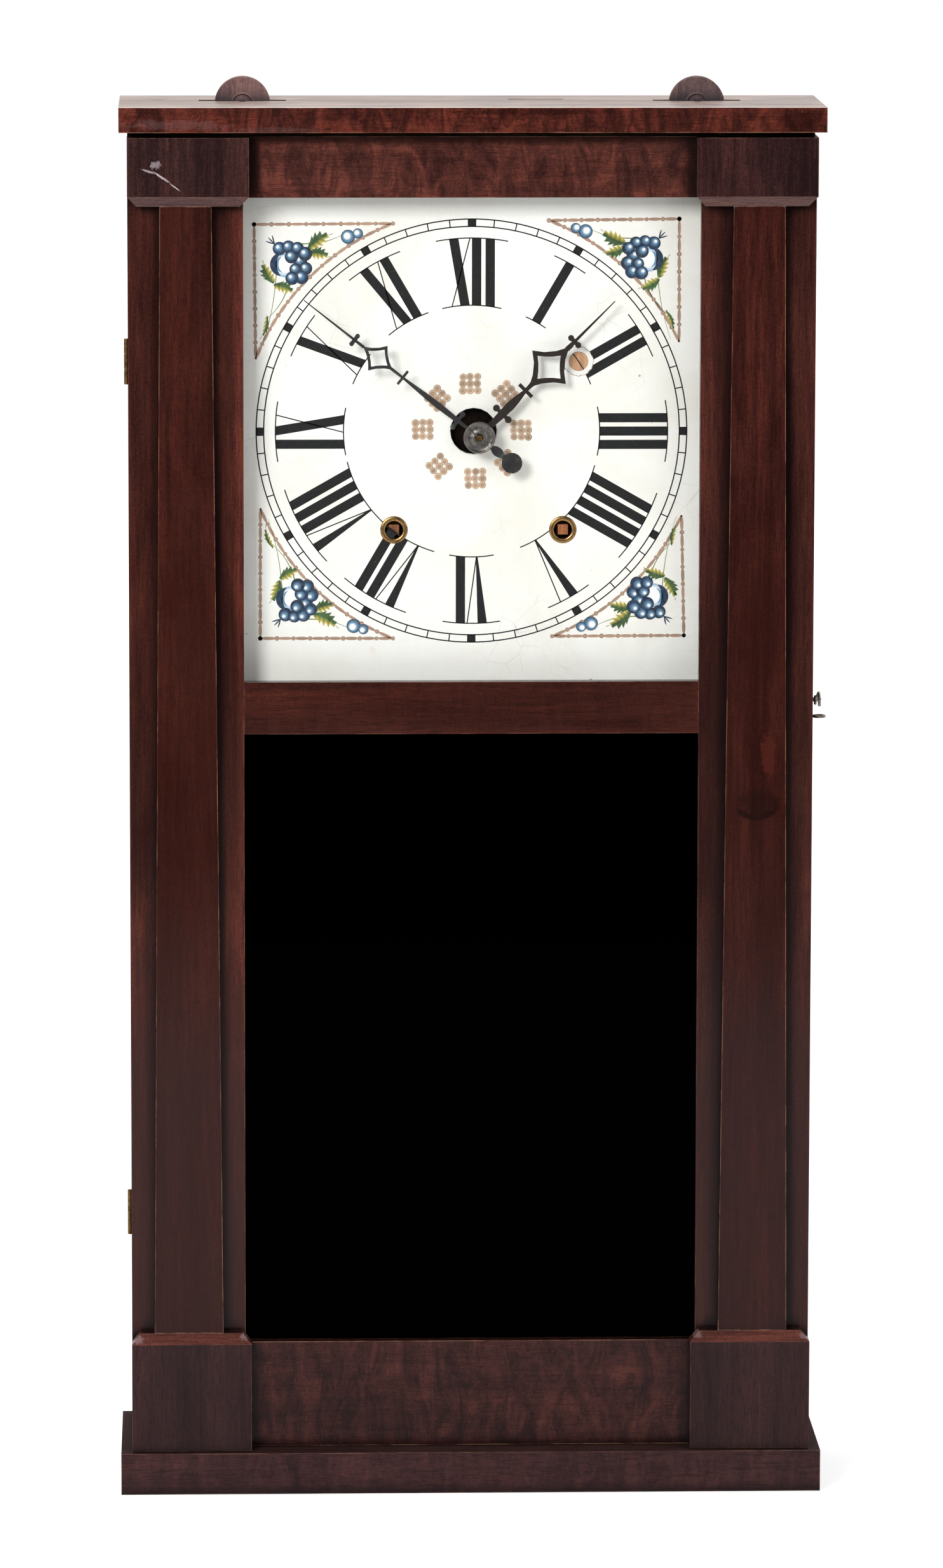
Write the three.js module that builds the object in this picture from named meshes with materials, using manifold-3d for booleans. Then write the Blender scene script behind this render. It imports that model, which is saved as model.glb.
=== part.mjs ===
// A pilaster and looking-glass shelf clock of about 1830: a pine and mahogany case with a hinged door,
// a painted wooden dial, and a thirty-hour wooden movement driven by two iron weights.
//
// Millimetres. +X is to the clock's right as it is looked at, the front faces -Y, +Z is up.
// The origin is the centre of the base's underside.
// Depths are measured back from the front face of the base, and turned into Y by deep().

import * as THREE from 'three';
import { mergeVertices } from 'three/addons/utils/BufferGeometryUtils.js';
import Module from 'manifold-3d';

const wasm = await Module();
wasm.setup();

// ---------------------------------------------------------------- driving dimensions

// case
const BASE_WIDTH = 433.8;
const BASE_DEPTH = 120;
const BASE_THICK = 25.8;
const CASE_WIDTH = 420;
const CASE_HEIGHT = 817.6; // of the sides, from the base board to the top board
const SIDE_THICK = 14;
const BACK_THICK = 8;
const TOP_WIDTH = 430;
const TOP_THICK = 15.2;
const TOP_SETBACK = 4; // the top board's front lies this far behind the base's

// door
const DOOR_SETBACK = 4.5; // the fronts of the capitals and plinths, behind the base's front
const BLOCK_PROUD = 14; // capitals and plinths stand this far in front of the stiles
const DOOR_THICK = 18;
const DOOR_BACK_GAP = 0.5;
const DOOR_FOOT_GAP = 0.5;
const DOOR_HEAD_GAP = 3.1;
const STILE_WIDTH = 70.4;
const TOP_RAIL = 37.3;
const MID_RAIL = 32.2;
const MID_RAIL_TOP = 505.6; // height above the ground
const BOTTOM_RAIL = 66.2;
const RABBET_LIP = 8; // wood in front of the panes
const RABBET_WIDTH = 6;
const PANE_CLEAR = 0.4;
const GLASS_THICK = 2;
const MIRROR_THICK = 3;
const MIRROR_BACK_THICK = 5;

// capitals, plinths and pilasters
const BLOCK_WIDTH = 74;
const CAPITAL_HEIGHT = 42; // with its chamfer
const PLINTH_HEIGHT = 73.6; // with its chamfer
const CHAMFER_RISE = 6.2;
const CHAMFER_DEPTH = 5.5;
const PILASTER_INSET = 35.4; // a pilaster's middle, in from the door's edge
const PILASTER_HEAD_WIDTH = 31.5;
const PILASTER_FOOT_WIDTH = 42.5;
const PILASTER_THICK = 8.5;

// hinges
const HINGE_TALL = 28;
const HINGE_HEIGHTS = { upper: 701.5, lower: 171.5 }; // of their middles
const LEAF_THICK = 0.9;
const LEAF_WIDE = 15;
const KNUCKLE_RADIUS = 1.6;
const HINGE_PIN_RADIUS = 0.7;
const HINGE_CLEAR = 0.3;
const HINGE_OUTBOARD = 0.9; // the pin's axis lies this far outside the case's side

// hook and eyes of the latch
const LATCH_HEIGHT = 482.5;
const LATCH_WIRE = 0.95; // radius
const EYE_RADIUS = 3.3; // of the ring's centre line
const EYE_OUTBOARD = 4.6; // the rings' centres, outside the case's side
const EYE_SHANK_IN = 8;
const DOOR_EYE_BACK = 9; // in front of the door's back face
const CASE_EYE_BACK = 26; // behind the case's front edge
const HOOK_LIFT_DEG = 17; // the hook hangs raised by this from where it holds
const HOOK_DROP = 9; // of its bent end
const CASE_EYE_RAISE = 5.5; // the case's eye above the door's

// dial
const DIAL_SETBACK = 47;
const DIAL_THICK = 5;
const DIAL_SIDE_GAP = 6; // between the dial and each side of the case
const DIAL_BOTTOM = 498; // height above the ground
const DIAL_HEIGHT = 314;
const DIAL_HOLE_RADIUS = 14.4;
const DIAL_HOLE_OFFSET = { x: -3.1, z: 2.6 }; // from the hands' arbor
const STRIP_WIDTH = 12;
const STRIP_DEPTH = 10;
const STRIP_HEAD_GAP = 5; // below the top board
const LEDGE_HEIGHT = 12;
const GROMMET_RADIUS = 8.6;
const GROMMET_BORE = 5.4;
const GROMMET_FLANGE = 0.7;
const GROMMET_SEAT = 7.6; // radius of the hole in the dial
const GROMMET_CLEAR = 0.3;
const PLUG_RADIUS = 5.8;
const PLUG_OFFSET = { x: 61.3, z: 45.6 }; // from the hands' arbor
const PLUG_CLEAR = 0.2;

// hands
const ARBOR_X = 5; // the hands' arbor stands a little right of the middle
const ARBOR_HEIGHT = 654.6;
const MINUTE_SETBACK = 33.2;
const HOUR_SETBACK = 36.6;
const HAND_THICK = 1.2;
const MINUTE_HAND_DEG = -51.8; // clockwise from twelve
const HOUR_HAND_DEG = 44.9;
const WASHER_RADIUS = 9.8;
const WASHER_THICK = 1.7;
const HAND_PIN_RADIUS = 0.5;
const HAND_PIN_LENGTH = 13;
const FIT_CLEAR = 0.3; // between a hub, or a bore, and the arbor in it
const HAND_ARBOR_RADIUS = 1.75;
const HOUR_PIPE_RADIUS = 3.5;
const MINUTE_STUD_RADIUS = 1.5;

// movement
const PLATE_SETBACK = 63;
const PLATE_THICK = 8;
const PLATE_SPACE = 26;
const PLATE_HALF_WIDTH = 92;
const PLATE_BELOW = 103; // below the hands' arbor
const PLATE_ABOVE = 97;
const PILLAR_RADIUS = 5;
const BATTEN_TALL = 22;
const PIVOT_RADIUS = 1.5;
const PIVOT_CLEAR = 0.3;
const SHAFT_RADIUS = 3;
const WINDING = { x: 52, z: -58.4 }; // the drums' arbors, from the hands' arbor
const WINDING_RADIUS = 4;
const WINDING_SQUARE = 6.2;
const WINDING_END = 48; // setback of the squares' ends
const DRUM_RADIUS = 15;
const DRUM_FLANGE = 20;
const FRONT_LAYER_SETBACK = 73; // setbacks of the three layers of wheels
const MIDDLE_LAYER_SETBACK = 80;
const REAR_LAYER_SETBACK = 90;
const WHEEL_THICK = 4;
const PINION_THICK = 5;

// weights and pulleys
const WEIGHT_RADIUS = 19;
const WEIGHT_HEIGHT = 150;
const WEIGHT_LOOP_RADIUS = 7;
const WEIGHT_LOOP_WIRE = 1.8;
const PULLEY_INSET = 70.5; // the axles' middles, in from the case's sides
const PULLEY_SETBACK = 73;
const PULLEY_RADIUS = 17.2;
const PULLEY_GROOVE = 14.7;
const PULLEY_THICK = 7;
const PULLEY_HUB = 7;
const PULLEY_DROP = 2.1; // axle below the top board's face
const AXLE_RADIUS = 1.6;
const AXLE_LENGTH = 24;
const SLOT_LENGTH = 53.7;
const SLOT_WIDTH = 10;
const SLIT = { x: 41, length: 34, width: 4.5, back: 84 };

// pendulum, bell and hammer
const PENDULUM_LENGTH = 446;
const BOB_RADIUS = 35;
const BOB_THICK = 14;
const ROD_RADIUS = 1;
const ROD_SETBACK = 57.5;
const BELL = { x: -45, z: 139, radius: 38, front: 76, back: 106 };
const BELL_WALL = 2.5;
const HAMMER_GAP = 2;
const HAMMER_TAIL = 38;
const HAMMER_HEAD = { radius: 6, length: 14 };
const PIN_CIRCLE = 16.5; // radius at which the pins of the pin wheel stand

// ---------------------------------------------------------------- places worked out from them

const deep = (setback) => setback - BASE_DEPTH / 2;
const CASE_HALF = CASE_WIDTH / 2;
const INNER_HALF = CASE_HALF - SIDE_THICK;
const DIAL_HALF = INNER_HALF - DIAL_SIDE_GAP;
const CASE_TOP = BASE_THICK + CASE_HEIGHT;
const STILE_FRONT = DOOR_SETBACK + BLOCK_PROUD;
const DOOR_BACK = STILE_FRONT + DOOR_THICK;
const CASE_FRONT = DOOR_BACK + DOOR_BACK_GAP;
const BACK_FRONT = BASE_DEPTH - BACK_THICK;
const DOOR_HALF = CASE_HALF; // the door is as wide as the case
const DOOR_FOOT = BASE_THICK + DOOR_FOOT_GAP;
const DOOR_HEAD = CASE_TOP - DOOR_HEAD_GAP;
const RAIL_HALF = DOOR_HALF - STILE_WIDTH;
const DIAL_BACK = DIAL_SETBACK + DIAL_THICK;
const REAR_PLATE = PLATE_SETBACK + PLATE_THICK + PLATE_SPACE;
const REAR_PLATE_BACK = REAR_PLATE + PLATE_THICK;
const INSIDE_FRONT = PLATE_SETBACK + PLATE_THICK;
const AXLE_HEIGHT = CASE_TOP + TOP_THICK - PULLEY_DROP;
const PULLEY_X = CASE_HALF - PULLEY_INSET;
const WEIGHT_X = PULLEY_X + PULLEY_GROOVE;

// wheels and pinions: number of teeth, and module (pitch diameter over teeth)
const GREAT = { teeth: 35, module: 2.16 };
const SECOND_PINION = { teeth: 10, module: 2.16 };
const SECOND = { teeth: 20, module: 2.16 };
const CENTRE_PINION = { teeth: 10, module: 2.16 };
const CENTRE = { teeth: 36, module: 1.4 };
const THIRD_PINION = { teeth: 6, module: 1.4 };
const THIRD = { teeth: 36, module: 1.3 };
const ESCAPE_PINION = { teeth: 6, module: 1.3 };
const ESCAPE = { teeth: 30, radius: 20, root: 16.5 };
const PIN_WHEEL = { teeth: 30, module: 1.3 };
const FLY_PINION = { teeth: 6, module: 1.3 };
const CANNON = { teeth: 8, module: 1.375 };
const MINUTE = { teeth: 24, module: 1.375 };
const MINUTE_PINION = { teeth: 8, module: 1.1 };
const HOUR = { teeth: 32, module: 1.1 };

const pitch = (gear) => (gear.teeth * gear.module) / 2;
const step = (from, distance, degrees) => ({
  x: from.x + distance * Math.cos(THREE.MathUtils.degToRad(degrees)),
  z: from.z + distance * Math.sin(THREE.MathUtils.degToRad(degrees)),
});

// where two arbors at a given distance from two others meet, on the right of the line between them
function between(a, distanceA, b, distanceB) {
  const span = Math.hypot(b.x - a.x, b.z - a.z);
  const along = (distanceA ** 2 - distanceB ** 2 + span ** 2) / (2 * span);
  const aside = Math.sqrt(distanceA ** 2 - along ** 2);
  const u = { x: (b.x - a.x) / span, z: (b.z - a.z) / span };
  return { x: a.x + u.x * along - u.z * aside, z: a.z + u.z * along + u.x * aside };
}

// arbors, from the hands' arbor
const HANDS = { x: 0, z: 0 };
const TIME_GREAT = { x: WINDING.x, z: WINDING.z };
const STRIKE_GREAT = { x: -WINDING.x, z: WINDING.z };
const SECOND_AT = between(
  HANDS, pitch(SECOND) + pitch(CENTRE_PINION),
  TIME_GREAT, pitch(GREAT) + pitch(SECOND_PINION),
);
const THIRD_AT = step(HANDS, pitch(CENTRE) + pitch(THIRD_PINION), 145);
const ESCAPE_AT = step(THIRD_AT, pitch(THIRD) + pitch(ESCAPE_PINION), 100);
const VERGE_AT = { x: ESCAPE_AT.x, z: ESCAPE_AT.z + 30 };
const MINUTE_AT = step(HANDS, pitch(CANNON) + pitch(MINUTE), -30);
const PIN_WHEEL_AT = step(STRIKE_GREAT, pitch(GREAT) + pitch(SECOND_PINION), 114.3);
const FLY_AT = step(PIN_WHEEL_AT, pitch(PIN_WHEEL) + pitch(FLY_PINION), 88);
const HAMMER_AT = { x: -76, z: 46.3 };

// ---------------------------------------------------------------- finishes

const finish = (color, roughness, metalness = 0) =>
  new THREE.MeshStandardMaterial({ color, roughness, metalness });

const mahogany = finish(0x5a261a, 0.4);
const darkMahogany = finish(0x3c1a14, 0.4);
const pine = finish(0x6b5340, 0.75);
const oldTop = finish(0x8a8078, 0.6);
const oak = finish(0x9a7345, 0.7);
const cherry = finish(0x8f5a33, 0.6);
const dialPaint = finish(0xf0f0e8, 0.55);
const brass = finish(0xb08d4a, 0.35, 1);
const iron = finish(0x3a3836, 0.6, 1);
const steel = finish(0x6d6f70, 0.4, 1);
const bluedSteel = finish(0x35343a, 0.45, 1);
const clearGlass = new THREE.MeshStandardMaterial({
  color: 0xffffff, roughness: 0.05, transparent: true, opacity: 0.2,
});
const darkGlass = finish(0x060606, 0.08);
const pulleyWood = finish(0x4a3430, 0.6);

// ---------------------------------------------------------------- solids

// an indexed copy with shared corners and no collapsed triangles
function weld(geometry) {
  const bare = new THREE.BufferGeometry();
  bare.setAttribute('position', geometry.getAttribute('position').clone());
  if (geometry.index) bare.setIndex(geometry.index.clone());
  const merged = mergeVertices(bare, 1e-4);
  const kept = [];
  const index = merged.index.array;
  for (let i = 0; i < index.length; i += 3) {
    const [a, b, c] = [index[i], index[i + 1], index[i + 2]];
    if (a !== b && b !== c && c !== a) kept.push(a, b, c);
  }
  merged.setIndex(kept);
  return merged;
}

function toManifold(geometry) {
  const welded = weld(geometry);
  return new wasm.Manifold(new wasm.Mesh({
    numProp: 3,
    vertProperties: new Float32Array(welded.getAttribute('position').array),
    triVerts: new Uint32Array(welded.index.array),
  }));
}

function toGeometry(manifold) {
  const mesh = manifold.getMesh();
  const geometry = new THREE.BufferGeometry();
  geometry.setAttribute('position', new THREE.BufferAttribute(mesh.vertProperties, 3));
  geometry.setIndex(new THREE.BufferAttribute(mesh.triVerts, 1));
  return geometry;
}

const join = (...pieces) =>
  toGeometry(pieces.map(toManifold).reduce((sum, piece) => sum.add(piece)));

const cut = (body, ...tools) =>
  toGeometry(tools.map(toManifold).reduce((rest, tool) => rest.subtract(tool), toManifold(body)));

// a box between two corners
function block(x0, x1, y0, y1, z0, z1) {
  const box = new THREE.BoxGeometry(x1 - x0, y1 - y0, z1 - z0);
  return box.translate((x0 + x1) / 2, (y0 + y1) / 2, (z0 + z1) / 2);
}

// a shape drawn in X and Z, from y0 back to y1
function slab(shape, y0, y1, curveSegments = 12) {
  const options = { depth: y1 - y0, bevelEnabled: false, curveSegments };
  return new THREE.ExtrudeGeometry(shape, options).rotateX(Math.PI / 2).translate(0, y1, 0);
}

// a shape drawn in X and Y, from z0 up to z1
function column(shape, z0, z1, curveSegments = 12) {
  const options = { depth: z1 - z0, bevelEnabled: false, curveSegments };
  return new THREE.ExtrudeGeometry(shape, options).translate(0, 0, z0);
}

// a shape drawn in Y and Z, from x0 to x1
function bar(shape, x0, x1, curveSegments = 12) {
  const options = { depth: x1 - x0, bevelEnabled: false, curveSegments };
  const solid = new THREE.ExtrudeGeometry(shape, options);
  return solid.rotateX(Math.PI / 2).rotateZ(Math.PI / 2).translate(x0, 0, 0);
}

// a turned piece about Y or Z, from [radius, place along the axis] pairs
const turned = (profile, segments) =>
  new THREE.LatheGeometry(profile.map(([r, y]) => new THREE.Vector2(r, y)), segments);
const turnedAlongZ = (profile, segments) => turned(profile, segments).rotateX(Math.PI / 2);

// a stepped arbor along Y, from [radius, from, to] stretches
function arbor(stretches, segments = 8) {
  const profile = [[0, stretches[0][1]]];
  for (const [radius, from, to] of stretches) profile.push([radius, from], [radius, to]);
  profile.push([0, stretches[stretches.length - 1][2]]);
  return turned(profile, segments);
}

const outline = (points) => new THREE.Shape(points.map(([x, y]) => new THREE.Vector2(x, y)));

function disc(radius, x = 0, y = 0) {
  const shape = new THREE.Shape();
  shape.absarc(x, y, radius, 0, Math.PI * 2);
  return shape;
}

function rectangle(x0, x1, y0, y1) {
  return outline([[x0, y0], [x1, y0], [x1, y1], [x0, y1]]);
}

// a solid through rectangles at rising heights, each [z, x0, x1, y0, y1]
function loft(levels) {
  const points = [];
  for (const [z, x0, x1, y0, y1] of levels) {
    points.push(x0, y0, z, x1, y0, z, x1, y1, z, x0, y1, z);
  }
  const faces = [0, 2, 1, 0, 3, 2];
  for (let level = 0; level + 1 < levels.length; level += 1) {
    for (let side = 0; side < 4; side += 1) {
      const a = level * 4 + side;
      const b = level * 4 + ((side + 1) % 4);
      faces.push(a, b, b + 4, a, b + 4, a + 4);
    }
  }
  const top = (levels.length - 1) * 4;
  faces.push(top, top + 1, top + 2, top, top + 2, top + 3);
  const geometry = new THREE.BufferGeometry();
  geometry.setAttribute('position', new THREE.Float32BufferAttribute(points, 3));
  geometry.setIndex(faces);
  return geometry;
}

function add(group, name, geometry, material, x = 0, y = 0, z = 0) {
  const mesh = new THREE.Mesh(weld(geometry), material);
  mesh.name = name;
  mesh.position.set(x, y, z);
  group.add(mesh);
  return mesh;
}

function assembly(name, parent, x = 0, y = 0, z = 0) {
  const group = new THREE.Group();
  group.name = name;
  group.position.set(x, y, z);
  parent.add(group);
  return group;
}

const clock = new THREE.Group();
clock.name = 'clock';

const SIDES = [['left', -1], ['right', 1]];
const spanX = (side, a, b) => (side < 0 ? [-b, -a] : [a, b]);

// ---------------------------------------------------------------- case

// recesses for a hinge's leaf and knuckle, in the door's back (-1) or the case's front edge (+1)
function hingeRecesses(face, towards) {
  const outside = -CASE_HALF - 1;
  const inside = -CASE_HALF + LEAF_WIDE - HINGE_OUTBOARD + HINGE_CLEAR;
  const knuckleInside = -CASE_HALF - HINGE_OUTBOARD + KNUCKLE_RADIUS + HINGE_CLEAR;
  const half = HINGE_TALL / 2 + HINGE_CLEAR;
  return Object.values(HINGE_HEIGHTS).flatMap((height) => {
    const span = (reach) => (towards < 0 ? [face - reach, face + 1] : [face - 1, face + reach]);
    const leaf = span(LEAF_THICK);
    const knuckle = span(KNUCKLE_RADIUS + HINGE_CLEAR);
    return [
      block(outside, inside, deep(leaf[0]), deep(leaf[1]), height - half, height + half),
      block(outside, knuckleInside, deep(knuckle[0]), deep(knuckle[1]), height - half, height + half),
    ];
  });
}

function eyeShankHole(setback, height) {
  const hole = new THREE.CylinderGeometry(LATCH_WIRE + 0.2, LATCH_WIRE + 0.2, EYE_SHANK_IN + 2, 10);
  return hole.rotateZ(Math.PI / 2).translate(CASE_HALF - EYE_SHANK_IN / 2 + 0.5, deep(setback), height);
}

function buildCase() {
  const group = assembly('case', clock);
  const back = deep(BASE_DEPTH);
  const base = block(-BASE_WIDTH / 2, BASE_WIDTH / 2, deep(0), back, 0, BASE_THICK);
  add(group, 'base_board', base, mahogany);

  // each side has a glued strip that the dial lies against, and a ledge under the dial
  for (const [name, side] of SIDES) {
    const wall = block(...spanX(side, INNER_HALF, CASE_HALF), deep(CASE_FRONT), back, BASE_THICK, CASE_TOP);
    const foot = DIAL_BOTTOM - LEDGE_HEIGHT;
    const section = outline([
      [deep(DIAL_SETBACK), foot], [deep(DIAL_BACK + STRIP_DEPTH), foot],
      [deep(DIAL_BACK + STRIP_DEPTH), CASE_TOP - STRIP_HEAD_GAP],
      [deep(DIAL_BACK), CASE_TOP - STRIP_HEAD_GAP],
      [deep(DIAL_BACK), DIAL_BOTTOM], [deep(DIAL_SETBACK), DIAL_BOTTOM],
    ]);
    const board = join(wall, bar(section, ...spanX(side, INNER_HALF - STRIP_WIDTH, INNER_HALF + 1)));
    const caseEye = eyeShankHole(CASE_FRONT + CASE_EYE_BACK, LATCH_HEIGHT + CASE_EYE_RAISE);
    const holes = side < 0 ? hingeRecesses(CASE_FRONT, 1) : [caseEye];
    add(group, `case_side_${name}`, cut(board, ...holes), mahogany);
  }

  // the back board carries two battens that the movement is pegged to
  const middle = ARBOR_HEIGHT;
  const battens = [middle + PLATE_ABOVE - BATTEN_TALL, middle - PLATE_BELOW].map((z) =>
    block(
      ARBOR_X - PLATE_HALF_WIDTH, ARBOR_X + PLATE_HALF_WIDTH,
      deep(REAR_PLATE_BACK), deep(BACK_FRONT + 1), z, z + BATTEN_TALL,
    ));
  const panel = block(-INNER_HALF, INNER_HALF, deep(BACK_FRONT), back, BASE_THICK, CASE_TOP);
  add(group, 'back_board', join(panel, ...battens), pine);

  // the top board is slotted for the pulleys, and grooved for their axles
  const topFace = CASE_TOP + TOP_THICK;
  const board = block(-TOP_WIDTH / 2, TOP_WIDTH / 2, deep(TOP_SETBACK), back, CASE_TOP, topFace);
  const through = (x, setback, length, width, z0) => block(
    x - length / 2, x + length / 2, deep(setback) - width / 2, deep(setback) + width / 2, z0, topFace + 1,
  );
  const groove = 2 * (AXLE_RADIUS + FIT_CLEAR);
  const openings = SIDES.flatMap(([, side]) => {
    const x = side * PULLEY_X;
    return [
      through(x, PULLEY_SETBACK, SLOT_LENGTH, SLOT_WIDTH, CASE_TOP - 1),
      through(x, PULLEY_SETBACK, groove, AXLE_LENGTH + 2 * FIT_CLEAR, AXLE_HEIGHT - groove / 2),
    ];
  });
  const slit = through(SLIT.x, SLIT.back, SLIT.length, SLIT.width, CASE_TOP - 1);
  add(group, 'top_board', cut(board, ...openings, slit), oldTop);
}

// ---------------------------------------------------------------- door

// a frame member's section is rabbeted behind for the pane
function buildDoor() {
  const group = assembly('door', clock);
  const front = deep(STILE_FRONT);
  const back = deep(DOOR_BACK);
  const lip = deep(STILE_FRONT + RABBET_LIP);
  const inner = RAIL_HALF;

  for (const [name, side] of SIDES) {
    const section = outline([
      [DOOR_HALF, front], [DOOR_HALF, back], [inner + RABBET_WIDTH, back],
      [inner + RABBET_WIDTH, lip], [inner, lip], [inner, front],
    ].map(([x, y]) => [side * x, y]));
    const stile = column(section, DOOR_FOOT, DOOR_HEAD);
    const doorEye = eyeShankHole(DOOR_BACK - DOOR_EYE_BACK, LATCH_HEIGHT);
    const holes = side < 0 ? hingeRecesses(DOOR_BACK, -1) : [doorEye];
    add(group, `door_stile_${name}`, cut(stile, ...holes), mahogany);
  }

  // the rails' tenoned ends meet the stiles, and their rabbets run on into the stiles' rabbets
  const rails = [
    ['door_top_rail', DOOR_HEAD - TOP_RAIL, DOOR_HEAD, true, false],
    ['door_mid_rail', MID_RAIL_TOP - MID_RAIL, MID_RAIL_TOP, true, true],
    ['door_bottom_rail', DOOR_FOOT, DOOR_FOOT + BOTTOM_RAIL, false, true],
  ];
  for (const [name, z0, z1, rabbetBelow, rabbetAbove] of rails) {
    const low = rabbetBelow ? z0 + RABBET_WIDTH : z0;
    const high = rabbetAbove ? z1 - RABBET_WIDTH : z1;
    const face = block(-inner, inner, front, lip, z0, z1);
    const heart = block(-inner - RABBET_WIDTH, inner + RABBET_WIDTH, lip, back, low, high);
    add(group, name, join(face, heart), mahogany);
  }

  const panes = [
    ['dial_glass', MID_RAIL_TOP, DOOR_HEAD - TOP_RAIL, RABBET_LIP, GLASS_THICK, clearGlass],
    ['looking_glass', DOOR_FOOT + BOTTOM_RAIL, MID_RAIL_TOP - MID_RAIL,
      RABBET_LIP, MIRROR_THICK, darkGlass],
    ['looking_glass_backboard', DOOR_FOOT + BOTTOM_RAIL, MID_RAIL_TOP - MID_RAIL,
      RABBET_LIP + MIRROR_THICK, MIRROR_BACK_THICK, pine],
  ];
  const edge = RABBET_WIDTH - PANE_CLEAR;
  for (const [name, z0, z1, from, thick, material] of panes) {
    const y0 = deep(STILE_FRONT + from);
    const pane = block(-inner - edge, inner + edge, y0, y0 + thick, z0 - edge, z1 + edge);
    add(group, name, pane, material);
  }

  // capitals and plinths are blocks chamfered towards the pilasters, and stand proud of the stiles
  const proud = deep(DOOR_SETBACK);
  for (const [name, side] of SIDES) {
    const [x0, x1] = spanX(side, DOOR_HALF - BLOCK_WIDTH, DOOR_HALF);
    const set = CHAMFER_DEPTH;
    const small = [x0 + set, x1 - set, proud + set, front];
    const large = [x0, x1, proud, front];
    const foot = DOOR_HEAD - CAPITAL_HEIGHT;
    const head = DOOR_FOOT + PLINTH_HEIGHT;
    add(group, `capital_${name}`, loft([
      [foot, ...small], [foot + CHAMFER_RISE, ...large], [DOOR_HEAD, ...large],
    ]), darkMahogany);
    add(group, `plinth_${name}`, loft([
      [DOOR_FOOT, ...large], [head - CHAMFER_RISE, ...large], [head, ...small],
    ]), darkMahogany);

    const middle = side * (DOOR_HALF - PILASTER_INSET);
    const level = (z, width) => [z, middle - width / 2, middle + width / 2, front - PILASTER_THICK, front];
    add(group, `pilaster_${name}`, loft([
      level(head, PILASTER_FOOT_WIDTH), level(foot, PILASTER_HEAD_WIDTH),
    ]), mahogany);
  }
}

// ---------------------------------------------------------------- hinges

// butt hinges: the case's leaf carries the outer knuckles and the pin, the door's leaf the middle one
function buildHinges() {
  const group = assembly('hinges', clock);
  const axisX = -CASE_HALF - HINGE_OUTBOARD;
  const axisY = deep((DOOR_BACK + CASE_FRONT) / 2);
  const half = HINGE_TALL / 2;
  const third = HINGE_TALL / 3;
  const gap = HINGE_CLEAR / 2;
  const leafGap = 0.1;

  // leaves lie flat on each other when the door is shut, and reach round to the knuckles
  const leaf = (towards, z0, z1) => {
    const near = leafGap;
    const far = DOOR_BACK_GAP / 2 + LEAF_THICK - leafGap;
    const [y0, y1] = towards < 0 ? [-far, -near] : [near, far];
    return block(0, LEAF_WIDE, y0, y1, z0, z1);
  };
  const knuckle = (z0, z1, bore) => {
    const ring = disc(KNUCKLE_RADIUS);
    if (bore) ring.holes.push(disc(bore));
    return column(ring, z0, z1, 8);
  };

  for (const [name, height] of Object.entries(HINGE_HEIGHTS)) {
    const body = leaf(1, -half, half);
    const room = KNUCKLE_RADIUS + HINGE_CLEAR;
    const middleRoom = block(-room, room, -room, room, -third / 2 - gap, third / 2 + gap);
    const caseLeaf = join(
      cut(join(body, knuckle(-half, half)), middleRoom),
      column(disc(HINGE_PIN_RADIUS), -half, half, 6),
    );
    const doorBody = leaf(-1, -half, half);
    const ends = [[-half - 1, -third / 2 + gap], [third / 2 - gap, half + 1]].map(([z0, z1]) =>
      block(-room, room, -room, room, z0, z1));
    const bored = cut(
      join(cut(doorBody, ...ends), knuckle(-third / 2 + gap, third / 2 - gap)),
      column(disc(HINGE_PIN_RADIUS + 0.25), -half, half, 6),
    );
    add(group, `hinge_${name}_case_leaf`, caseLeaf, brass, axisX, axisY, height);
    add(group, `hinge_${name}_door_leaf`, bored, brass, axisX, axisY, height);
  }
}

// ---------------------------------------------------------------- latch

function screwEye() {
  const ring = new THREE.TorusGeometry(EYE_RADIUS, LATCH_WIRE, 6, 14);
  const start = -EYE_OUTBOARD - EYE_SHANK_IN;
  const shank = new THREE.CylinderGeometry(LATCH_WIRE, LATCH_WIRE, -EYE_RADIUS - start, 8);
  return join(ring, shank.rotateZ(Math.PI / 2).translate((start - EYE_RADIUS) / 2, 0, 0));
}

// a wire hook: a ring round the case's eye, a straight reach, and an end bent down
function hook(reach) {
  const ringRadius = LATCH_WIRE * 2 + 0.35;
  const ring = new THREE.TorusGeometry(ringRadius, LATCH_WIRE, 6, 12).rotateY(Math.PI / 2);
  const bend = 4;
  const straight = reach - bend - ringRadius;
  const rod = new THREE.CylinderGeometry(LATCH_WIRE, LATCH_WIRE, straight, 8)
    .translate(0, -ringRadius - straight / 2, 0);
  const corner = new THREE.QuadraticBezierCurve3(
    new THREE.Vector3(0, bend + 0.4 - reach, 0),
    new THREE.Vector3(0, -reach, 0),
    new THREE.Vector3(0, -reach, -HOOK_DROP),
  );
  const end = new THREE.ExtrudeGeometry(disc(LATCH_WIRE), {
    steps: 6, extrudePath: corner, curveSegments: 4,
  });
  return join(ring, rod, end);
}

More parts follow.
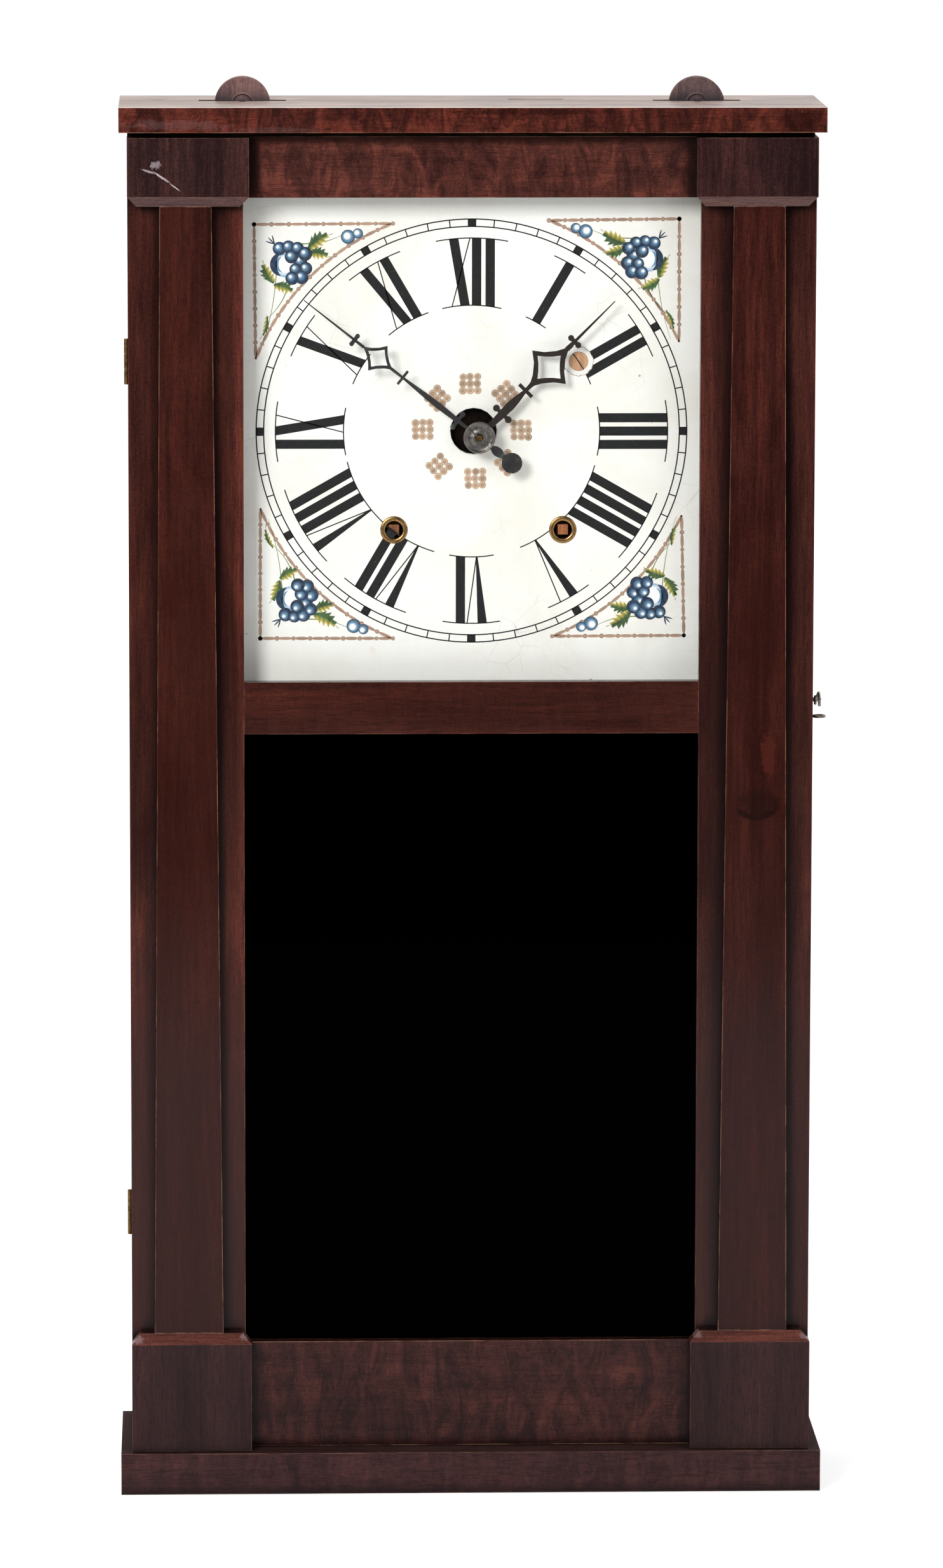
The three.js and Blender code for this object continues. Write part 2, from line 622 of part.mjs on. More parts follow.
function buildLatch() {
  const group = assembly('latch', clock);
  const x = CASE_HALF + EYE_OUTBOARD;
  const doorEye = DOOR_BACK - DOOR_EYE_BACK;
  const caseEye = CASE_FRONT + CASE_EYE_BACK;
  const pivot = caseEye - EYE_RADIUS;
  add(group, 'door_screw_eye', screwEye(), brass, x, deep(doorEye), LATCH_HEIGHT);
  add(group, 'case_screw_eye', screwEye(), brass, x, deep(caseEye), LATCH_HEIGHT + CASE_EYE_RAISE);
  const mesh = add(group, 'latch_hook', hook(pivot - doorEye), brass,
    x, deep(pivot), LATCH_HEIGHT + CASE_EYE_RAISE);
  mesh.rotation.x = THREE.MathUtils.degToRad(-HOOK_LIFT_DEG);
}

// ---------------------------------------------------------------- dial

function buildDial() {
  const group = assembly('dial', clock, ARBOR_X, 0, ARBOR_HEIGHT);
  const y0 = deep(DIAL_SETBACK);
  const y1 = deep(DIAL_BACK);
  const bottom = DIAL_BOTTOM - ARBOR_HEIGHT;
  const panel = block(
    -DIAL_HALF - ARBOR_X, DIAL_HALF - ARBOR_X, y0, y1, bottom, bottom + DIAL_HEIGHT,
  );
  const holes = [
    [DIAL_HOLE_RADIUS, DIAL_HOLE_OFFSET],
    [GROMMET_SEAT, TIME_GREAT],
    [GROMMET_SEAT, STRIKE_GREAT],
    [PLUG_RADIUS + PLUG_CLEAR, PLUG_OFFSET],
  ].map(([radius, at]) => slab(disc(radius, at.x, at.z), y0 - 1, y1 + 1, 10));
  add(group, 'dial_board', cut(panel, ...holes), dialPaint);
  add(group, 'dial_plug', slab(disc(PLUG_RADIUS), y0, y1, 10), cherry, PLUG_OFFSET.x, 0, PLUG_OFFSET.z);

  // brass grommets line the winding holes
  const sleeve = GROMMET_SEAT - GROMMET_CLEAR;
  const profile = [
    [GROMMET_BORE, y0 - GROMMET_FLANGE], [GROMMET_RADIUS, y0 - GROMMET_FLANGE / 2], [GROMMET_RADIUS, y0],
    [sleeve, y0], [sleeve, y1], [GROMMET_BORE, y1], [GROMMET_BORE, y0 - GROMMET_FLANGE],
  ];
  for (const [name, at] of [['left', STRIKE_GREAT], ['right', TIME_GREAT]]) {
    add(group, `winding_grommet_${name}`, turned(profile, 18), brass, at.x, 0, at.z);
  }
}

// ---------------------------------------------------------------- hands

// a four-cornered figure with hollow sides, drawn along the hand
function hollowDiamond(centre, halfLong, halfWide, hollow) {
  const corners = [[halfLong, 0], [0, halfWide], [-halfLong, 0], [0, -halfWide]];
  const shape = new THREE.Shape();
  shape.moveTo(0, centre + halfLong);
  for (let i = 0; i < 4; i += 1) {
    const [a, b] = [corners[i], corners[(i + 1) % 4]];
    const pull = 1 - hollow;
    shape.quadraticCurveTo(
      ((a[1] + b[1]) / 2) * pull, centre + ((a[0] + b[0]) / 2) * pull, b[1], centre + b[0],
    );
  }
  return shape;
}

// a bar across the hand with round ends, or with square ones
function crossBar(centre, length, thick, knob = 0) {
  const pieces = [block(-length / 2, length / 2, 0, HAND_THICK, centre - thick / 2, centre + thick / 2)];
  if (knob) {
    for (const side of [-1, 1]) {
      pieces.push(slab(disc(knob, (side * length) / 2, centre), 0, HAND_THICK, 5));
    }
  }
  return pieces;
}

// a tapering stretch of the hand, from [distance along, width] pairs
function taper(widths) {
  const up = widths.map(([along, width]) => [width / 2, along]);
  const down = widths.map(([along, width]) => [-width / 2, along]).reverse();
  return slab(outline([...up, ...down]), 0, HAND_THICK);
}

function hand(spec) {
  const { at, long, wide, innerLong, innerWide, hollow } = spec.diamond;
  const diamond = cut(
    slab(hollowDiamond(at, long, wide, hollow), 0, HAND_THICK, 3),
    slab(hollowDiamond(at, innerLong, innerWide, hollow / 2), -1, HAND_THICK + 1, 3),
  );
  const solid = join(
    slab(disc(spec.hub), 0, HAND_THICK, 8),
    diamond,
    ...spec.tapers.map(taper),
    ...spec.bars.flatMap((one) => crossBar(...one)),
    ...(spec.discs || []).map(([along, radius, wide]) => {
      const shape = new THREE.Shape();
      shape.absellipse(0, along, wide || radius, radius, 0, Math.PI * 2);
      return slab(shape, 0, HAND_THICK, 8);
    }),
  );
  return cut(solid, slab(disc(spec.bore), -1, HAND_THICK + 1, 6));
}

const MINUTE_HAND = {
  hub: 6,
  bore: HAND_ARBOR_RADIUS + FIT_CLEAR,
  diamond: { at: 79.2, long: 11.5, wide: 9.6, innerLong: 7.4, innerWide: 6.7, hollow: 0.3 },
  tapers: [
    [[90, 1.9], [98, 1.5], [136.8, 0.5]],
    [[58, 1.5], [69, 1.9]],
    [[5, 2], [15, 2.1], [18, 3], [32, 3.9], [44, 3.1], [59.8, 1.3]],
    [[-20, 3], [-4, 2.6]],
  ],
  bars: [[97.3, 6, 2.4, 1.45], [59.8, 10.2, 1.6], [16.9, 9.7, 2, 1.65]],
  discs: [[-14.2, 4.6, 2.9], [-25.5, 6.4]],
};

const HOUR_HAND = {
  hub: 7,
  bore: HOUR_PIPE_RADIUS + FIT_CLEAR,
  diamond: { at: 60.6, long: 17.5, wide: 14.6, innerLong: 10.1, innerWide: 10, hollow: 0.34 },
  tapers: [
    [[76, 3.2], [82, 2.4], [84, 1.7], [117.8, 0.5]],
    [[39, 2], [44, 2.6], [47, 3.4]],
    [[5, 4.6], [13, 3.8], [18, 4.6], [27, 5.5], [33, 4.4], [40.3, 1.9]],
  ],
  bars: [[82.8, 6.2, 2.6, 1.9], [40.3, 11, 2.2], [20.1, 10.2, 2.4, 2.15]],
};

function buildHands() {
  const group = assembly('hands', clock, ARBOR_X, 0, ARBOR_HEIGHT);
  const minute = add(group, 'minute_hand', hand(MINUTE_HAND), bluedSteel, 0, deep(MINUTE_SETBACK), 0);
  minute.rotation.y = THREE.MathUtils.degToRad(MINUTE_HAND_DEG);
  const hour = add(group, 'hour_hand', hand(HOUR_HAND), bluedSteel, 0, deep(HOUR_SETBACK), 0);
  hour.rotation.y = THREE.MathUtils.degToRad(HOUR_HAND_DEG);

  // a dished washer and a taper pin hold the minute hand
  const back = deep(MINUTE_SETBACK) - 0.1;
  const front = back - WASHER_THICK;
  const bore = HAND_ARBOR_RADIUS + FIT_CLEAR;
  const rim = WASHER_RADIUS;
  add(group, 'hand_washer', turned([
    [bore, front + 0.7], [rim - 2.6, front + 0.9], [rim - 1.9, front], [rim - 0.9, front],
    [rim, front + 0.8], [rim - 0.4, back], [bore, back], [bore, front + 0.7],
  ], 20), steel);
  const pin = new THREE.CylinderGeometry(HAND_PIN_RADIUS, HAND_PIN_RADIUS * 0.7, HAND_PIN_LENGTH, 8);
  const mesh = add(group, 'hand_pin', pin.rotateX(Math.PI / 2), steel,
    0, front + 0.7 - HAND_PIN_RADIUS - 0.2, 0);
  mesh.rotation.y = THREE.MathUtils.degToRad(MINUTE_HAND_DEG);
}

// ---------------------------------------------------------------- wheels

const EIGHT_SIDED = Math.cos(Math.PI / 8); // a bore of eight flats clears a round of its inner radius
const TOOTH = { tip: 0.13, root: 0.27, addendum: 0.85, dedendum: 1.1 };

// teeth as tapered flanks; one tooth, or a gap, points at the given angle
function gearShape(gear, degrees, gap = false) {
  const shape = [];
  const each = (Math.PI * 2) / gear.teeth;
  const start = THREE.MathUtils.degToRad(degrees) + (gap ? each / 2 : 0);
  const tip = pitch(gear) + TOOTH.addendum * gear.module;
  const root = pitch(gear) - TOOTH.dedendum * gear.module;
  for (let i = 0; i < gear.teeth; i += 1) {
    const middle = start + i * each;
    const flanks = [[root, -TOOTH.root], [tip, -TOOTH.tip], [tip, TOOTH.tip], [root, TOOTH.root]];
    for (const [radius, share] of flanks) {
      const angle = middle + share * each;
      shape.push([radius * Math.cos(angle), radius * Math.sin(angle)]);
    }
  }
  return outline(shape);
}

const bearing = (from, to) => THREE.MathUtils.radToDeg(Math.atan2(to.z - from.z, to.x - from.x));

function wheel(gear, degrees, setback, thick = WHEEL_THICK, bore = 0) {
  const shape = gearShape(gear, degrees);
  if (bore) shape.holes.push(disc(bore / EIGHT_SIDED));
  return slab(shape, deep(setback), deep(setback) + thick, 4);
}

function pinion(gear, degrees, setback, thick = PINION_THICK) {
  return slab(gearShape(gear, degrees, true), deep(setback) - 0.5, deep(setback) - 0.5 + thick, 4);
}

// an arbor between the plates, with a pivot in each
function arborInPlates(radius = SHAFT_RADIUS) {
  const seat = PLATE_THICK - 2;
  return arbor([
    [PIVOT_RADIUS, deep(INSIDE_FRONT - seat), deep(INSIDE_FRONT + 0.5)],
    [radius, deep(INSIDE_FRONT + 0.5), deep(REAR_PLATE - 0.5)],
    [PIVOT_RADIUS, deep(REAR_PLATE - 0.5), deep(REAR_PLATE + seat)],
  ]);
}

// ---------------------------------------------------------------- movement frame

function buildPlates(group) {
  const drilled = (y0, y1, holes) => cut(
    block(-PLATE_HALF_WIDTH, PLATE_HALF_WIDTH, y0, y1, -PLATE_BELOW, PLATE_ABOVE),
    ...holes.map(([radius, at]) => slab(disc(radius / EIGHT_SIDED, at.x, at.z), y0 - 1, y1 + 1, 4)),
  );
  const pivots = [SECOND_AT, THIRD_AT, ESCAPE_AT, PIN_WHEEL_AT, FLY_AT, HAMMER_AT];
  const small = PIVOT_RADIUS + PIVOT_CLEAR;

  const front = drilled(deep(PLATE_SETBACK), deep(INSIDE_FRONT), [
    ...pivots.map((at) => [small, at]),
    [2 + PIVOT_CLEAR, VERGE_AT],
    [2 + PIVOT_CLEAR, HANDS],
    [WINDING_RADIUS + PIVOT_CLEAR, TIME_GREAT],
    [WINDING_RADIUS + PIVOT_CLEAR, STRIKE_GREAT],
  ]);
  const rear = drilled(deep(REAR_PLATE), deep(REAR_PLATE_BACK), [
    ...pivots.map((at) => [small, at]),
    [small, VERGE_AT],
    [small, HANDS],
    [2.5 + PIVOT_CLEAR, TIME_GREAT],
    [2.5 + PIVOT_CLEAR, STRIKE_GREAT],
  ]);

  // the front plate carries the minute wheel's stud and the cock that the pendulum hangs from
  const face = deep(PLATE_SETBACK);
  const stud = slab(disc(MINUTE_STUD_RADIUS, MINUTE_AT.x, MINUTE_AT.z), face - 8.5, face + 1, 4);
  const cockFoot = VERGE_AT.z + 2.4;
  const cock = block(
    VERGE_AT.x - 4, VERGE_AT.x + 4, deep(ROD_SETBACK) - 3, face + 1, cockFoot, cockFoot + 9,
  );
  const hanger = block(
    VERGE_AT.x - 0.9, VERGE_AT.x + 0.9, deep(ROD_SETBACK) - 1.2, deep(ROD_SETBACK) + 1.2,
    VERGE_AT.z + 0.4, cockFoot + 1,
  );
  const frontPlate = join(front, stud, cock, hanger);
  add(group, 'movement_front_plate', frontPlate, oak);

  // four pillars are turned with tenons in the rear plate
  const pillars = [[-56, 88], [84, 88], [-84, -94], [84, -94]].map(([x, z]) =>
    slab(disc(PILLAR_RADIUS, x, z), deep(INSIDE_FRONT), deep(REAR_PLATE + 1), 3));
  add(group, 'movement_rear_plate', join(rear, ...pillars), oak);
}

// a drum turned with its arbor, squared in front for the key
function windingDrum() {
  const back = FRONT_LAYER_SETBACK + 14;
  const body = arbor([
    [WINDING_RADIUS, deep(WINDING_END + 8), deep(FRONT_LAYER_SETBACK)],
    [DRUM_FLANGE, deep(FRONT_LAYER_SETBACK), deep(FRONT_LAYER_SETBACK + 2)],
    [DRUM_RADIUS, deep(FRONT_LAYER_SETBACK + 2), deep(back - 2)],
    [DRUM_FLANGE, deep(back - 2), deep(back)],
    [WINDING_RADIUS, deep(back), deep(REAR_PLATE - 0.5)],
    [2.5, deep(REAR_PLATE - 0.5), deep(REAR_PLATE + PLATE_THICK - 2)],
  ], 14);
  const half = WINDING_SQUARE / 2;
  const square = block(-half, half, deep(WINDING_END), deep(WINDING_END + 9), -half, half);
  return join(body, square);
}

// ---------------------------------------------------------------- time train

function escapeWheel() {
  const points = [];
  const each = (Math.PI * 2) / ESCAPE.teeth;
  for (let i = 0; i < ESCAPE.teeth; i += 1) {
    const a = i * each;
    points.push([ESCAPE.root * Math.cos(a), ESCAPE.root * Math.sin(a)]);
    points.push([ESCAPE.radius * Math.cos(a + each * 0.08), ESCAPE.radius * Math.sin(a + each * 0.08)]);
    points.push([ESCAPE.root * Math.cos(a + each * 0.6), ESCAPE.root * Math.sin(a + each * 0.6)]);
  }
  return slab(outline(points), deep(MIDDLE_LAYER_SETBACK), deep(MIDDLE_LAYER_SETBACK) + 2.5);
}

// the verge: a bent strip with two pallets over the escape wheel, its arbor, and the crutch in front
function verge() {
  const drop = VERGE_AT.z - ESCAPE_AT.z;
  const clear = ESCAPE.radius + 1.6;
  const reach = 40;
  const inner = new THREE.Shape();
  const outer = clear + 3;
  const a0 = THREE.MathUtils.degToRad(90 - reach);
  const a1 = THREE.MathUtils.degToRad(90 + reach);
  inner.absarc(0, -drop, outer, a0, a1, false);
  inner.absarc(0, -drop, clear, a1, a0, true);
  const strip = slab(inner, deep(MIDDLE_LAYER_SETBACK), deep(MIDDLE_LAYER_SETBACK) + 3, 12);
  const post = slab(rectangle(-3, 3, clear + 1 - drop, 1), deep(MIDDLE_LAYER_SETBACK), deep(MIDDLE_LAYER_SETBACK) + 3);
  const seat = PLATE_THICK - 2;
  const shaft = arbor([
    [2, deep(PLATE_SETBACK - 2.6), deep(REAR_PLATE - 0.5)],
    [PIVOT_RADIUS, deep(REAR_PLATE - 0.5), deep(REAR_PLATE + seat)],
  ]);
  const wireY = [deep(PLATE_SETBACK - 2.6), deep(PLATE_SETBACK - 1)];
  const length = 52;
  const wire = block(-0.8, 0.8, ...wireY, -length, 0);
  const gap = ROD_RADIUS + 0.35;
  const yoke = block(-gap - 1.4, gap + 1.4, ...wireY, -length - 1.6, -length);
  const prongs = [[-gap - 1.4, -gap], [gap, gap + 1.4]].map(([x0, x1]) =>
    block(x0, x1, deep(ROD_SETBACK) - ROD_RADIUS - 0.6, wireY[1], -length - 1.6, -length));
  return join(strip, post, shaft, wire, yoke, ...prongs);
}

function buildTimeTrain(group) {
  const place = (name, geometry, material, at) => add(group, name, geometry, material, at.x, 0, at.z);
  const greatBore = WINDING_RADIUS + FIT_CLEAR;

  place('time_drum', windingDrum(), cherry, TIME_GREAT);
  place('time_great_wheel',
    wheel(GREAT, bearing(TIME_GREAT, SECOND_AT), REAR_LAYER_SETBACK, WHEEL_THICK, greatBore), cherry, TIME_GREAT);
  place('time_second_wheel', join(
    arborInPlates(),
    pinion(SECOND_PINION, bearing(SECOND_AT, TIME_GREAT), REAR_LAYER_SETBACK),
    wheel(SECOND, bearing(SECOND_AT, HANDS), MIDDLE_LAYER_SETBACK),
  ), cherry, SECOND_AT);
  place('centre_wheel', join(
    arborInPlates(),
    pinion(CENTRE_PINION, bearing(HANDS, SECOND_AT), MIDDLE_LAYER_SETBACK),
    wheel(CENTRE, bearing(HANDS, THIRD_AT), FRONT_LAYER_SETBACK),
  ), cherry, HANDS);
  place('third_wheel', join(
    arborInPlates(2),
    pinion(THIRD_PINION, bearing(THIRD_AT, HANDS), FRONT_LAYER_SETBACK),
    wheel(THIRD, bearing(THIRD_AT, ESCAPE_AT), REAR_LAYER_SETBACK),
  ), cherry, THIRD_AT);
  place('escape_wheel', join(
    arborInPlates(2),
    pinion(ESCAPE_PINION, bearing(ESCAPE_AT, THIRD_AT), REAR_LAYER_SETBACK),
    escapeWheel(),
  ), brass, ESCAPE_AT);
  place('verge', verge(), steel, VERGE_AT);
}

// ---------------------------------------------------------------- pendulum

function buildPendulum(group) {
  const at = assembly('pendulum', group, VERGE_AT.x, deep(ROD_SETBACK), VERGE_AT.z);
  const bobCentre = -PENDULUM_LENGTH;
  const end = bobCentre - BOB_RADIUS - 10;
  const rod = new THREE.CylinderGeometry(ROD_RADIUS, ROD_RADIUS, -end, 8);
  add(at, 'pendulum_rod', rod.rotateX(Math.PI / 2).translate(0, 0, end / 2), steel);
  const half = BOB_THICK / 2;
  const lens = turned([
    [0, -half], [BOB_RADIUS * 0.55, -half * 0.78], [BOB_RADIUS * 0.88, -half * 0.34], [BOB_RADIUS, 0],
    [BOB_RADIUS * 0.88, half * 0.34], [BOB_RADIUS * 0.55, half * 0.78], [0, half],
  ], 20);
  const bore = column(disc(ROD_RADIUS + 0.3), -BOB_RADIUS - 2, BOB_RADIUS + 2, 4);
  add(at, 'pendulum_bob', cut(lens, bore), brass, 0, 0, bobCentre);
}

// ---------------------------------------------------------------- strike train

function buildStrikeTrain(group) {
  const place = (name, geometry, material, at) => add(group, name, geometry, material, at.x, 0, at.z);
  const greatBore = WINDING_RADIUS + FIT_CLEAR;

  place('strike_drum', windingDrum(), cherry, STRIKE_GREAT);
  place('strike_great_wheel',
    wheel(GREAT, bearing(STRIKE_GREAT, PIN_WHEEL_AT), REAR_LAYER_SETBACK, WHEEL_THICK, greatBore),
    cherry, STRIKE_GREAT);

  // eight pins on the pin wheel lift the hammer's tail
  const pins = Array.from({ length: 8 }, (_, i) => {
    const at = step(HANDS, PIN_CIRCLE, i * 45 + 22.5);
    return slab(disc(1.2, at.x, at.z), deep(MIDDLE_LAYER_SETBACK) - 2.2, deep(MIDDLE_LAYER_SETBACK) + 1, 3);
  });
  place('strike_pin_wheel', join(
    arborInPlates(),
    pinion(SECOND_PINION, bearing(PIN_WHEEL_AT, STRIKE_GREAT), REAR_LAYER_SETBACK),
    wheel(PIN_WHEEL, bearing(PIN_WHEEL_AT, FLY_AT), MIDDLE_LAYER_SETBACK),
    ...pins,
  ), cherry, PIN_WHEEL_AT);

  const vane = block(-16, 16, deep(FRONT_LAYER_SETBACK) - 0.5, deep(FRONT_LAYER_SETBACK) + 4, -0.7, 0.7);
  place('strike_fly', join(
    arborInPlates(2),
    pinion(FLY_PINION, bearing(FLY_AT, PIN_WHEEL_AT), MIDDLE_LAYER_SETBACK),
    vane,
  ), oak, FLY_AT);

  // the hammer's arm rises past the plates to the bell, and its tail hangs over the pin wheel
  const headX = BELL.x - BELL.radius - HAMMER_GAP - HAMMER_HEAD.length / 2 - HAMMER_AT.x;
  const headZ = BELL.z - HAMMER_AT.z;
  const armY = [deep(REAR_LAYER_SETBACK) + 2, deep(REAR_LAYER_SETBACK) + 4.5];
  const arm = slab(outline([[-2, -2], [2, -2], [headX + 1.5, headZ], [headX - 1.5, headZ]]), ...armY);
  const head = new THREE.CylinderGeometry(HAMMER_HEAD.radius, HAMMER_HEAD.radius, HAMMER_HEAD.length, 12)
    .rotateZ(Math.PI / 2).translate(headX, deep(REAR_LAYER_SETBACK + 5), headZ);
  const tailY = [deep(MIDDLE_LAYER_SETBACK) - 2.3, deep(MIDDLE_LAYER_SETBACK) - 0.8];
  const tail = slab(outline([[-2, 2], [-6, -HAMMER_TAIL], [-3, -HAMMER_TAIL], [2, 2]]), ...tailY);
  place('hammer', join(arborInPlates(2), arm, head, tail), iron, HAMMER_AT);

  // the bell is cast as a cup, open behind, on an iron post from the back board
  const { radius, front, back } = BELL;
  const wall = BELL_WALL;
  const bell = turned([
    [0, deep(front)], [radius * 0.55, deep(front) + 1.5], [radius * 0.85, deep(front) + 8],
    [radius * 0.95, deep(front) + 18], [radius, deep(back)], [radius - wall, deep(back)],
    [radius * 0.95 - wall, deep(front) + 18.5], [radius * 0.85 - wall, deep(front) + 9.5],
    [radius * 0.55 - wall, deep(front) + 4.5], [3, deep(front) + 4], [3, deep(BACK_FRONT)],
    [0, deep(BACK_FRONT)],
  ], 18);
  add(group, 'bell', bell, iron, BELL.x, 0, BELL.z);
}

// ---------------------------------------------------------------- motion works

function buildMotionWorks(group) {
  const minuteBack = PLATE_SETBACK - 0.5;
  const cannonThick = 3;
  const wheelThick = 2;
  const hourSetback = 56;
  const hourThick = 2.5;
  const end = MINUTE_SETBACK - WASHER_THICK - 1.5;
  const pinY = deep(MINUTE_SETBACK) - 0.1 - WASHER_THICK + 0.7 - HAND_PIN_RADIUS - 0.2;

  const shaft = arbor([
    [HAND_ARBOR_RADIUS, deep(end), deep(MINUTE_SETBACK + 2)],
    [2, deep(MINUTE_SETBACK + 2), deep(PLATE_SETBACK + 1.6)],
  ]);
  const cannon = slab(gearShape(CANNON, bearing(HANDS, MINUTE_AT), true),
    deep(minuteBack - cannonThick), deep(minuteBack), 4);
  const pinHole = new THREE.CylinderGeometry(HAND_PIN_RADIUS + 0.2, HAND_PIN_RADIUS + 0.2, 10, 6)
    .rotateX(Math.PI / 2).rotateY(THREE.MathUtils.degToRad(MINUTE_HAND_DEG)).translate(0, pinY, 0);
  add(group, 'minute_arbor', cut(join(shaft, cannon), pinHole), brass);

  const bored = (radius, ...pieces) => {
    const bore = slab(disc(radius / EIGHT_SIDED), deep(HOUR_SETBACK - 5), deep(PLATE_SETBACK + 5), 4);
    return cut(join(...pieces), bore);
  };
  const wheelBack = deep(minuteBack - 0.5);
  const twin = bored(
    MINUTE_STUD_RADIUS + FIT_CLEAR,
    slab(gearShape(MINUTE, bearing(MINUTE_AT, HANDS)), wheelBack - wheelThick, wheelBack),
    slab(gearShape(MINUTE_PINION, bearing(MINUTE_AT, HANDS), true), deep(hourSetback - 0.5), wheelBack - 0.5),
  );
  add(group, 'minute_wheel', twin, cherry, MINUTE_AT.x, 0, MINUTE_AT.z);

  const hourBack = deep(hourSetback + hourThick);
  const piped = bored(
    2 + FIT_CLEAR,
    slab(disc(HOUR_PIPE_RADIUS), deep(HOUR_SETBACK - 0.6), hourBack - 0.5, 6),
    slab(gearShape(HOUR, bearing(HANDS, MINUTE_AT)), deep(hourSetback), hourBack),
  );
  add(group, 'hour_wheel', piped, cherry);
}

function buildMovement() {
  const group = assembly('movement', clock, ARBOR_X, 0, ARBOR_HEIGHT);
  buildPlates(group);
  buildTimeTrain(group);
  buildPendulum(group);
  buildStrikeTrain(group);
  buildMotionWorks(group);
}

// ---------------------------------------------------------------- pulleys and weights

function buildPulleys() {
  const group = assembly('pulleys', clock, 0, deep(PULLEY_SETBACK), AXLE_HEIGHT);
  const half = PULLEY_THICK / 2;
  const bore = AXLE_RADIUS + FIT_CLEAR;
  const profile = [
    [bore, -half], [PULLEY_HUB, -half], [PULLEY_HUB, -half + 1], [PULLEY_RADIUS, -half + 1],
    [PULLEY_RADIUS, -half + 1.9], [PULLEY_GROOVE, 0], [PULLEY_RADIUS, half - 1.9],
    [PULLEY_RADIUS, half - 1], [PULLEY_HUB, half - 1], [PULLEY_HUB, half], [bore, half],
    [bore, -half],
  ];
  for (const [name, side] of SIDES) {
    const x = side * PULLEY_X;
    add(group, `pulley_${name}`, turned(profile, 22), pulleyWood, x, 0, 0);
    const axle = new THREE.CylinderGeometry(AXLE_RADIUS, AXLE_RADIUS, AXLE_LENGTH, 10);
    add(group, `pulley_axle_${name}`, axle, steel, x, 0, 0);
  }
}

// iron weights stand run down on the case's floor, each under its pulley's outer edge
function buildWeights() {
  const group = assembly('weights', clock, 0, deep(PULLEY_SETBACK), BASE_THICK);
  const body = turnedAlongZ([
    [0, 0], [WEIGHT_RADIUS - 1, 0], [WEIGHT_RADIUS, 1], [WEIGHT_RADIUS, WEIGHT_HEIGHT - 4],
    [WEIGHT_RADIUS - 4, WEIGHT_HEIGHT], [0, WEIGHT_HEIGHT],
  ], 18);
  const loop = new THREE.TorusGeometry(WEIGHT_LOOP_RADIUS, WEIGHT_LOOP_WIRE, 6, 12)
    .rotateX(Math.PI / 2).translate(0, 0, WEIGHT_HEIGHT + WEIGHT_LOOP_RADIUS - 1.5);
  for (const [name, side] of SIDES) {
    const train = name === 'left' ? 'strike' : 'time';
    add(group, `${train}_weight`, join(body, loop), iron, side * WEIGHT_X, 0, 0);
  }
}

buildCase();
buildDoor();
buildHinges();
buildLatch();
buildDial();
buildHands();
buildMovement();
buildPulleys();
buildWeights();

export default clock;
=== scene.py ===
"""The looks of a looking-glass shelf clock: its veneers, painted dial, hands, brass and iron."""

import functools
import math

import bmesh
import bpy
import numpy as np
from mathutils import Matrix, Vector


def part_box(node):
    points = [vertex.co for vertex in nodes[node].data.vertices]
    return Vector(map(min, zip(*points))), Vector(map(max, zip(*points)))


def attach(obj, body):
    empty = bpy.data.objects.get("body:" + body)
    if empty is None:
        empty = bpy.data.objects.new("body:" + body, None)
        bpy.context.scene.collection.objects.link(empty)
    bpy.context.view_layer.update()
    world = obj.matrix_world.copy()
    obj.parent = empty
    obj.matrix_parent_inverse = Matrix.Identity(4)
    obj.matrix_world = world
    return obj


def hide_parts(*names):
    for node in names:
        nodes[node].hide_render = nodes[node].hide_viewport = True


MM = 0.001
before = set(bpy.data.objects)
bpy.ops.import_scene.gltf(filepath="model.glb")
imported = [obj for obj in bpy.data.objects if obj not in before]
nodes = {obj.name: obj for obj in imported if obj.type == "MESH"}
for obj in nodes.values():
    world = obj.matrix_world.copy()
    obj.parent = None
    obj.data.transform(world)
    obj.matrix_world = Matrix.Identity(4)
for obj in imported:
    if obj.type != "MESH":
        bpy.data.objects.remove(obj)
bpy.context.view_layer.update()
bpy.context.scene.view_settings.view_transform = "Standard"

# ------------------------------------------------------------ camera, lamps and backdrop

EYE = Vector((-0.1696104, -5.0, 1.1839066))
YAW, PITCH, ROLL = 0.0342, 0.1484, 0.0018
FOCAL_PIXELS, PICTURE_HEIGHT, SENSOR = 12836.4375, 2468, 36
WHITE = (1, 1, 1, 1)
AMBIENT = 0.425  # share of the white room that lights the clock
FLOOR_PAPER, FLOOR_SEEN, FLOOR_HEIGHT = 0.9, 0.45, -0.0003
SOFT = {"interpolation_type": "SMOOTHSTEP"}


def place_camera():
    """A level camera five metres off, turned a little right and down, as the photograph was taken."""
    ahead = Vector((math.sin(YAW) * math.cos(PITCH), math.cos(YAW) * math.cos(PITCH), -math.sin(PITCH)))
    right = Vector((math.cos(YAW), -math.sin(YAW), 0))
    up = right.cross(ahead)
    side, top = (
        math.cos(ROLL) * right + math.sin(ROLL) * up,
        math.cos(ROLL) * up - math.sin(ROLL) * right,
    )
    lens = bpy.data.cameras.new("camera")
    lens.sensor_width = SENSOR
    lens.lens = FOCAL_PIXELS / PICTURE_HEIGHT * SENSOR
    lens.clip_end = 50
    camera = bpy.data.objects.new("camera", lens)
    camera.matrix_world = Matrix.Translation(EYE) @ Matrix((side, top, -ahead)).transposed().to_4x4()
    bpy.context.scene.collection.objects.link(camera)
    bpy.context.scene.camera = camera


def hang_softbox(name, place, target, size, watts):
    """A square softbox that faces target."""
    light = bpy.data.lights.new(name, "AREA")
    light.size = size
    light.energy = watts
    lamp = bpy.data.objects.new(name, light)
    lamp.location = place
    lamp.rotation_euler = (Vector(target) - Vector(place)).to_track_quat("-Z", "Y").to_euler()
    bpy.context.scene.collection.objects.link(lamp)


